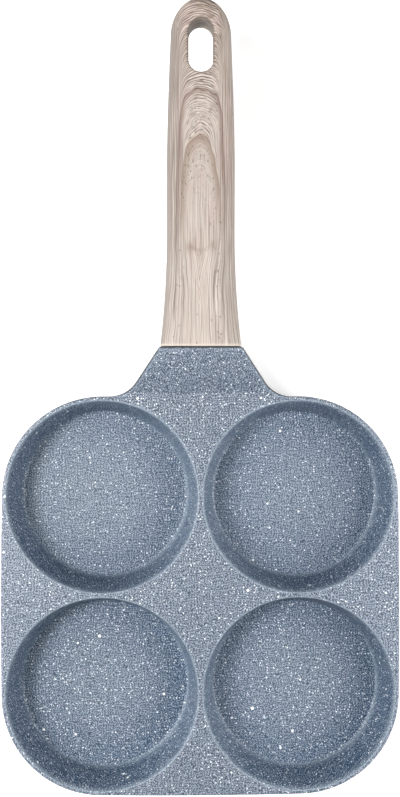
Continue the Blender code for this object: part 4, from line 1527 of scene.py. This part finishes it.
@dataclass
class HandleGrip:
    """Moulded handle: a swept squared oval with a rounded tip and a hang hole through it."""

    layout: Layout
    base_top: float = 0.0325
    front_width: float = 0.0398
    grip_width: float = 0.0328
    rear_width: float = 0.0287
    front_thickness: float = 0.0200
    grip_thickness: float = 0.0170
    rear_thickness: float = 0.0150
    flare_length: float = 0.0577
    taper_length: float = 0.0630
    tip_length: float = 0.0158
    taper_power: float = 1.5
    nose_length: float = 0.0090
    nose_squareness: float = 2.6
    front_slope: float = math.tan(math.radians(5.8))
    rear_slope: float = math.tan(math.radians(3.6))
    front_squareness: float = 6.0
    grip_squareness: float = 2.9
    squareness_fade: int = 3
    front_edge: float = 0.0005
    hole_width: float = 0.0118
    hole_length: float = 0.0240
    hole_to_tip: float = 0.0109
    hole_round: float = 0.0015
    hole_setback: float = 0.0045
    ring_points: int = 128
    body_rings: int = 110
    straight_points: int = 14
    turn_points: int = 40
    lip_rows: int = 7
    hole_wall_rows: int = 7
    front_edge_rows: int = 5
    front_shares: tuple[float, ...] = (1.0, 0.66, 0.33, 0.0)
    slope_step: float = 0.001
    hole_rows: int = 26
    hole_row_crowding: float = 2.2
    zones: GrainZones = GrainZones()

    def __post_init__(self) -> None:
        """Work out where the hole and the end of the swept part lie."""
        self.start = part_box("handle_grip")[0].y
        self.hole_middle = self.layout.tip - self.hole_to_tip - self.hole_length / 2
        self.split = self.hole_middle - self.hole_length / 2 - self.hole_round - self.hole_setback

    def top(self, y: np.ndarray) -> np.ndarray:
        """Height of the crown line: a straight rise whose slope falls evenly towards the tip."""
        along = y - self.layout.joint
        bend = (self.front_slope - self.rear_slope) / (2 * (self.layout.tip - self.layout.joint))
        return self.base_top + self.front_slope * along - bend * along ** 2

    def measure(self, y: np.ndarray, front: float, grip: float, rear: float) -> np.ndarray:
        """A width or thickness: the grip's, plus a squared flare in front, less a taper behind."""
        flare = np.maximum(1 - (y - self.layout.joint) / self.flare_length, 0)
        taper_start = self.layout.tip - self.tip_length - self.taper_length
        taper = np.maximum((y - taper_start) / self.taper_length, 0)
        return grip + (front - grip) * flare ** 2 - (grip - rear) * taper ** self.taper_power

    def half_width(self, y: np.ndarray) -> np.ndarray:
        """Half the width, times the quarter ellipse that rounds the tip in plan."""
        past = np.clip((y - self.layout.tip + self.tip_length) / self.tip_length, 0, 1)
        width = self.measure(y, self.front_width, self.grip_width, self.rear_width)
        return width / 2 * np.sqrt(1 - past ** 2)

    def thickness(self, y: np.ndarray) -> np.ndarray:
        """Full thickness before the tip is rounded."""
        return self.measure(y, self.front_thickness, self.grip_thickness, self.rear_thickness)

    def half_height(self, y: np.ndarray) -> np.ndarray:
        """Half the thickness, times the squared oval that rounds the nose in side view."""
        past = np.clip((y - self.layout.tip + self.nose_length) / self.nose_length, 0, 1)
        nose = (1 - past ** self.nose_squareness) ** (1 / self.nose_squareness)
        return self.thickness(y) / 2 * nose

    def middle(self, y: np.ndarray) -> np.ndarray:
        """Height of the section's middle, half a thickness below the crown line."""
        return self.top(y) - self.thickness(y) / 2

    def squareness(self, y: np.ndarray) -> np.ndarray:
        """Exponent of the squared oval, which falls from the front's to the grip's."""
        fade = np.maximum(1 - (y - self.layout.joint) / self.flare_length, 0) ** self.squareness_fade
        return self.grip_squareness + (self.front_squareness - self.grip_squareness) * fade

    def rings(self, y: np.ndarray, inset: float = 0.0) -> np.ndarray:
        """Sections of the handle: x and z are cosine and sine raised to two over the squareness.

        Args:
            y: places of the rings along the handle.
            inset: how far the sections are moved in.

        Returns:
            Array of rings by points by three coordinates.
        """
        angles = np.arange(self.ring_points) * math.tau / self.ring_points
        power = 2 / self.squareness(y)[:, None]
        side = np.sign(np.cos(angles)) * np.abs(np.cos(angles)) ** power
        rise = np.sign(np.sin(angles)) * np.abs(np.sin(angles)) ** power
        x = (self.half_width(y)[:, None] - inset) * side
        z = self.middle(y)[:, None] + (self.half_height(y)[:, None] - inset) * rise
        return np.stack([x, np.broadcast_to(y[:, None], x.shape), z], axis=-1)

    def surface(self, x: np.ndarray, y: np.ndarray, up: int) -> np.ndarray:
        """Height of the top, or of the underside, over a plan point of the squared oval."""
        square = self.squareness(y)
        share = np.clip(np.abs(x) / np.maximum(self.half_width(y), TINY), 0, 1)
        return self.middle(y) + up * self.half_height(y) * (1 - share ** square) ** (1 / square)

    def tip_edge(self) -> np.ndarray:
        """Plan outline of the tip's region: the split line from side to side, then round the tip."""
        ring = self.rings(np.array([self.split]))[0]
        half = self.ring_points // 2
        split_line = ring[half::-1, :2]
        straight = np.linspace(self.split, self.layout.tip - self.tip_length, self.straight_points)[1:-1]
        angles = np.linspace(0, QUARTER, self.turn_points)
        turn = self.layout.tip - self.tip_length + self.tip_length * np.sin(angles)
        y = np.concatenate([straight, turn])
        right = np.stack([self.half_width(y), y], axis=1)
        left = right[-2::-1] * np.array([-1, 1])
        return np.concatenate([split_line, right, left])

    def hole_ring(self, edge: np.ndarray, outset: float, shift: float) -> np.ndarray:
        """Stadium points opposite each edge point: skeleton's nearest point plus radius outwards.

        Args:
            edge: plan outline of the tip's region.
            outset: how far the ring lies outside the hole.
            shift: how far the ring is moved along the handle.

        Returns:
            Plan points, one for each edge point.
        """
        reach = (self.hole_length - self.hole_width) / 2
        spine = np.stack([np.zeros(len(edge)),
                          np.clip(edge[:, 1], self.hole_middle - reach, self.hole_middle + reach)], axis=1)
        out = edge - spine
        out /= np.linalg.norm(out, axis=1, keepdims=True)
        return spine + out * (self.hole_width / 2 + outset) + np.array([0, shift])

    def tip_sheets(self) -> list[np.ndarray]:
        """Top and underside round the hole, and the hole's wall with its two rounded lips."""
        edge = self.tip_edge()
        heights = self.top(self.hole_middle + np.array([0.0, self.slope_step]))
        tilt = float(heights[1] - heights[0]) / self.slope_step
        sheets = []
        lips = []
        for up in (1, -1):
            shift = -up * tilt * float(self.half_height(np.array(self.hole_middle)))
            start = self.hole_ring(edge, self.hole_round, shift)
            share = 1 - (1 - np.linspace(0, 1, self.hole_rows + 1)) ** self.hole_row_crowding
            plan = start * (1 - share[:, None, None]) + edge * share[:, None, None]
            sheets.append(level(plan, self.surface(plan[..., 0], plan[..., 1], up)))
            height = sheets[-1][0, :, 2]
            rows = []
            for angle in np.linspace(0, QUARTER, self.lip_rows):
                ring = self.hole_ring(edge, self.hole_round * (1 - math.sin(angle)), shift)
                rows.append(level(ring, height - up * self.hole_round * (1 - math.cos(angle))))
            lips.append(np.stack(rows))
        share = np.linspace(0, 1, self.hole_wall_rows)[:, None, None]
        wall = lips[0][-1] * (1 - share) + lips[1][-1] * share
        return [*sheets, *lips, wall]

    def front_sheet(self, ring: np.ndarray) -> np.ndarray:
        """Flat front end: the first ring shrunk evenly to its middle."""
        share = np.array(self.front_shares)[:, None, None]
        middle = ring.mean(axis=0)
        return middle + (ring - middle) * share

    def build(self, wood: bpy.types.Material, cutters: list[bpy.types.Mesh]) -> None:
        """Make the handle's mesh, cut its socket and screw recess and store the grain's fields."""
        body_start = self.start + self.front_edge
        edge_angles = np.linspace(0, QUARTER, self.front_edge_rows)
        front = [self.rings(np.array([self.start + self.front_edge * (1 - math.cos(angle))]),
                            self.front_edge * (1 - math.sin(angle)))[0] for angle in edge_angles]
        body = self.rings(np.linspace(body_start, self.split, self.body_rings))
        sheets = Sheets()
        sheets.add(self.front_sheet(front[0]), closed=True)
        sheets.add(np.concatenate([np.stack(front), body[1:]]), closed=True)
        for sheet in self.tip_sheets():
            sheets.add(sheet, closed=True)
        mesh = carve(sheets.mesh("wood_grip"), [], cutters, [wood])
        hold_inside(mesh, "handle_grip")
        self.store_grain(mesh)
        new_piece("wood_grip", mesh, "handle_grip")

    def store_grain(self, mesh: bpy.types.Mesh) -> None:
        """Store the print's coordinates in millimetres, the masks of its zones, and the masks of the painted
        shade on the sides and edge and of the painted highlight at the front end.

        Across is the way round the section from the crown line, evened out where the handle
        flares and pinched together behind the joint. Along is the distance from the tip.
        """
        zones = self.zones
        x, y, z = vertex_array(mesh).T
        half_width = self.half_width(y)
        fall = self.top(y) - z
        over_top = np.abs(x) + 0.5 * fall
        under = 2 * half_width - np.abs(x) + 0.5 * fall
        around = np.where(z >= self.middle(y), over_top, under)
        flare = self.measure(y, self.front_width, self.grip_width, self.grip_width) / self.grip_width
        across = 1000 * np.sign(x) * around / flare
        along = 1000 * (self.layout.tip - y)
        bent = sum(bow.amount * smooth_step(along, *bow.span) * bell(across, bow.across, bow.width)
                   for bow in zones.bows)
        loops = along - zones.loop_along + zones.loop_curve * (across - zones.loop_across) ** 2
        knot = zones.loop_strength * bell(loops, 0, zones.loop_width)
        knot *= np.exp(-((across - zones.loop_across) / zones.loop_reach) ** 6)
        for spot in zones.spots:
            there = bell(across, spot.across, spot.width) * bell(along, spot.along, spot.length)
            knot += spot.strength * there
        front = smooth_step(along - zones.front_slant * np.abs(across), *zones.front_span)
        sideways = np.abs(x) / half_width
        # painted shade down the steep sides, stronger on the left
        side = np.where(x < 0, zones.left_side_shade, zones.right_side_shade)
        side = side * smooth_step(sideways, *zones.side_span)
        # painted shade: a dark line along each side just above its middle, where the handle turns away
        turning = (z - self.middle(y)) / np.maximum(self.half_height(y), WELD_DISTANCE)
        outermost = (sideways > zones.edge_inside) | (along < zones.edge_tip)
        edge = zones.edge_shade_strength * bell(turning, zones.edge_level, zones.edge_width) * outermost
        # painted highlight on the rounded front end
        light = zones.front_highlight_strength * (1 - smooth_step(1000 * (y - self.start), *zones.front_highlight_span))
        # darker grey-brown on the hang hole's wall: unprinted plastic, with painted shade in the hole
        reach = (self.hole_length - self.hole_width) / 2
        from_spine = np.hypot(x, y - np.clip(y, self.hole_middle - reach, self.hole_middle + reach))
        in_hole = self.hole_width / 2 - from_spine
        bare = zones.hole_wall_strength * smooth_step(in_hole, -0.5 * self.hole_round, 0.0)
        fields = {"across": across + bent, "along": along, "front": front, "side": side, "edge": edge,
                  "light": light, "knot": knot, "bare": bare}
        for name, values in fields.items():
            add_attribute(mesh, f"grain_{name}", values)


@dataclass
class HandleJoint:
    """What holds the handle: the pan's lug in its socket, the screw and its two washers."""

    layout: Layout
    lug_length: float = 0.0260
    lug_width: float = 0.0200
    lug_thickness: float = 0.0058
    lug_edge: float = 0.0008
    lug_end_room: float = 0.0010
    top_wall: float = 0.0036
    stack_gap: float = 0.0002
    screw_to_joint: float = 0.0140
    screw_radius: float = 0.0025
    counterbore_radius: float = 0.0056
    overcut: float = 0.0010
    bore_over_seat: float = 0.0035
    steps: int = 48

    def __post_init__(self) -> None:
        """Work out where the screw stands."""
        self.screw_y = self.layout.joint + self.screw_to_joint

    def section(self, handle: HandleGrip, y: float, clearance: float, chamfer: float) -> np.ndarray:
        """Cross-section of the lug, or of its socket when a clearance is given.

        Args:
            handle: the grip, whose crown line the lug follows.
            y: place of the section.
            clearance: how far it lies outside the lug.
            chamfer: how much is taken off each corner and, at the lug's end, off each side.

        Returns:
            Eight points in order.
        """
        crown = handle.base_top + handle.front_slope * (y - self.layout.joint)
        high = crown - self.top_wall - FIT_GAP + clearance
        low = high - self.lug_thickness - 2 * clearance
        right = self.lug_width / 2 + clearance
        x = np.array([chamfer - right, right - chamfer, right, right, right - chamfer, chamfer - right,
                      -right, -right])
        z = np.array([low, low, low + chamfer, high - chamfer, high, high, high - chamfer, low + chamfer])
        return np.stack([x, np.full(8, y), z], axis=1)

    def lug(self, handle: HandleGrip, root: float) -> bpy.types.Mesh:
        """Tongue from inside the neck's end wall into the handle, with its edges taken off."""
        end = self.layout.joint + self.lug_length
        rings = [self.section(handle, y, 0.0, self.lug_edge) for y in (root, end - self.lug_edge)]
        rings.append(self.section(handle, end, -self.lug_edge, 0.3 * self.lug_edge))
        return ring_stack("lug", np.stack(rings), Coat.OUTSIDE.value)

    def lug_hole(self, handle: HandleGrip) -> bpy.types.Mesh:
        """Cutter for the screw's hole in the lug."""
        rows = self.section(handle, self.screw_y, self.overcut, 0.0)[:, 2]
        radius = self.screw_radius + FIT_GAP
        profile = np.array([[radius, rows.min()], [radius, rows.max()]])
        return ring_stack("lug_hole", turned(profile, (0, self.screw_y), self.steps), Coat.OUTSIDE.value)

    def socket(self, handle: HandleGrip) -> bpy.types.Mesh:
        """Cutter for the socket in the handle's front end."""
        ends = (self.layout.joint - self.overcut, self.layout.joint + self.lug_length + self.lug_end_room)
        rings = [self.section(handle, y, FIT_GAP, 0.0) for y in ends]
        return ring_stack("socket", np.stack(rings))

    def counterbore(self) -> bpy.types.Mesh:
        """Cutter for the screw's way up through the handle's lower wall."""
        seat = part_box("flat_washer")[1].z + self.stack_gap
        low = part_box("handle_grip")[0].z - self.overcut
        narrow = self.screw_radius + FIT_GAP
        ceiling = seat + self.bore_over_seat
        profile = np.array([[self.counterbore_radius, low], [self.counterbore_radius, seat],
                            [narrow, seat], [narrow, ceiling]])
        return ring_stack("counterbore", turned(profile, (0, self.screw_y), self.steps))


def dress_node(name: str, finish: bpy.types.Material) -> None:
    """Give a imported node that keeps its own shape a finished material."""
    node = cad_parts[name]
    for index in range(len(node.material_slots)):
        node.material_slots[index].material = finish
    LOG.info("%s keeps its packed shape and gets %s", name, finish.name)


@dataclass(frozen=True)
class SoftLight:
    """One rectangular studio light aimed at a point."""

    name: str
    place: tuple[float, float, float]
    aim: tuple[float, float, float]
    width: float
    height: float
    power: float


@dataclass
class Studio:
    """Pale floor, soft lights, even surroundings and the camera."""

    floor_gap: float = 0.0006
    floor_half_size: float = 0.42
    floor_points: int = 9
    near_clip: float = 0.01
    surroundings: float = 0.05
    backdrop: float = 1.0
    image_height: float = 797.0
    focal_pixels: float = 893.6
    sensor: float = 36.0
    camera_place: tuple[float, float, float] = (-0.00775, -0.00302, 0.4617)
    pitch: float = math.radians(-0.695)
    yaw: float = math.radians(0.970)
    roll: float = math.radians(0.040)
    lights: tuple[SoftLight, ...] = (
        SoftLight("light_top_left", (-0.80, 0.00, 1.10), (0.0, 0.00, 0.00), 0.6, 1.20, 5.4),
        SoftLight("light_top_near", (-0.45, 0.05, 0.75), (0.0, -0.05, 0.00), 0.3, 0.30, 3.3),
        SoftLight("light_left_low", (-0.36, -0.09, 0.13), (0.0, -0.09, 0.02), 0.3, 0.12, 0.75),
        SoftLight("light_left_high", (-0.40, -0.09, 0.50), (0.0, -0.09, 0.02), 0.3, 0.12, 1.7),
        SoftLight("light_right_low", (0.36, -0.09, 0.13), (0.0, -0.09, 0.02), 0.3, 0.12, 1.0),
        SoftLight("light_right_middle", (0.36, -0.09, 0.28), (0.0, -0.09, 0.02), 0.3, 0.12, 0.55),
        SoftLight("light_right_high", (0.40, -0.09, 0.50), (0.0, -0.09, 0.02), 0.3, 0.12, 0.8),
    )

    def build(self, floor_finish: bpy.types.Material) -> None:
        """Set up everything round the pan."""
        self.add_floor(floor_finish)
        for light in self.lights:
            self.add_light(light)
        self.add_surroundings()
        self.add_camera()
        scene = bpy.context.scene
        scene.view_settings.view_transform = "Standard"
        scene.view_settings.look = "None"

    def add_floor(self, finish: bpy.types.Material) -> None:
        """Flat square grid just below the hob plane."""
        steps = np.linspace(-self.floor_half_size, self.floor_half_size, self.floor_points)
        x, y = np.meshgrid(steps, steps)
        sheets = Sheets()
        sheets.add(np.stack([x, y, np.full(x.shape, -self.floor_gap)], axis=-1))
        mesh = sheets.mesh("studio_floor")
        mesh.materials.append(finish)
        floor = place_object("studio_floor", mesh)

    def add_light(self, light: SoftLight) -> None:
        """Place one rectangular light and turn it to its aim."""
        data = bpy.data.lights.new(light.name, "AREA")
        data.shape = "RECTANGLE"
        data.size = light.width
        data.size_y = light.height
        data.energy = light.power
        lamp = place_object(light.name, data)
        lamp.location = light.place
        direction = Vector(light.aim) - Vector(light.place)
        lamp.rotation_euler = direction.to_track_quat("-Z", "Y").to_euler()

    def add_surroundings(self) -> None:
        """Even white surroundings: weak as light, pale where they are seen past the floor."""
        world = bpy.data.worlds.new("studio")
        world.use_nodes = True
        graph = Graph(world.node_tree)
        sky = world.node_tree.nodes["Background"]
        sky.inputs["Color"].default_value = WHITE
        seen = graph.node("ShaderNodeLightPath").outputs["Is Camera Ray"]
        strength = graph.ramp(seen, 0.0, 1.0, self.surroundings, self.backdrop)
        world.node_tree.links.new(strength, sky.inputs["Strength"])
        bpy.context.scene.world = world

    def add_camera(self) -> None:
        """Camera at the photograph's point of view, looking almost straight down."""
        data = bpy.data.cameras.new("camera")
        data.sensor_width = self.sensor
        data.lens = self.focal_pixels * self.sensor / self.image_height
        data.clip_start = self.near_clip
        camera = place_object("camera", data)
        camera.rotation_mode = "ZYX"
        camera.rotation_euler = (-self.pitch, -self.yaw, -self.roll)
        camera.location = self.camera_place
        bpy.context.scene.camera = camera


def main() -> None:
    """Build every sub-assembly in order and report each piece."""
    logging.basicConfig(level=logging.INFO, format="%(name)s: %(message)s")
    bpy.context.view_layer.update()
    layout = Layout.from_frame()
    effects = Effects()
    pan = PanBody(layout)
    coating = StoneCoating().material(effects, layout.middle + pan.neck_bend, layout.joint)
    enamel = OutsideEnamel().material(effects)
    wood = WoodPrint().material(effects)
    zinc = TurnedSteel("zinc_steel", bright=(0.62, 0.62, 0.60), dull=(0.45, 0.45, 0.44),
                       roughness=(0.29, 0.43)).material(effects)
    stainless = TurnedSteel("stainless_steel", bright=(0.66, 0.66, 0.67), dull=(0.48, 0.48, 0.49),
                            roughness=(0.24, 0.38)).material(effects)
    handle = HandleGrip(layout)
    joint = HandleJoint(layout)
    lug = joint.lug(handle, layout.joint - pan.neck_end_wall / 2)
    pan.build(coating, enamel, lug, joint.lug_hole(handle))
    handle.build(wood, [joint.socket(handle), joint.counterbore()])
    for name in ("handle_screw", "flat_washer", "spring_washer"):
        dress_node(name, zinc)
    for number in range(1, 5):
        dress_node(f"induction_disc_{number}", stainless)
    Studio().build(StudioFloor().material(effects))


if __name__ == "__main__":
    main()
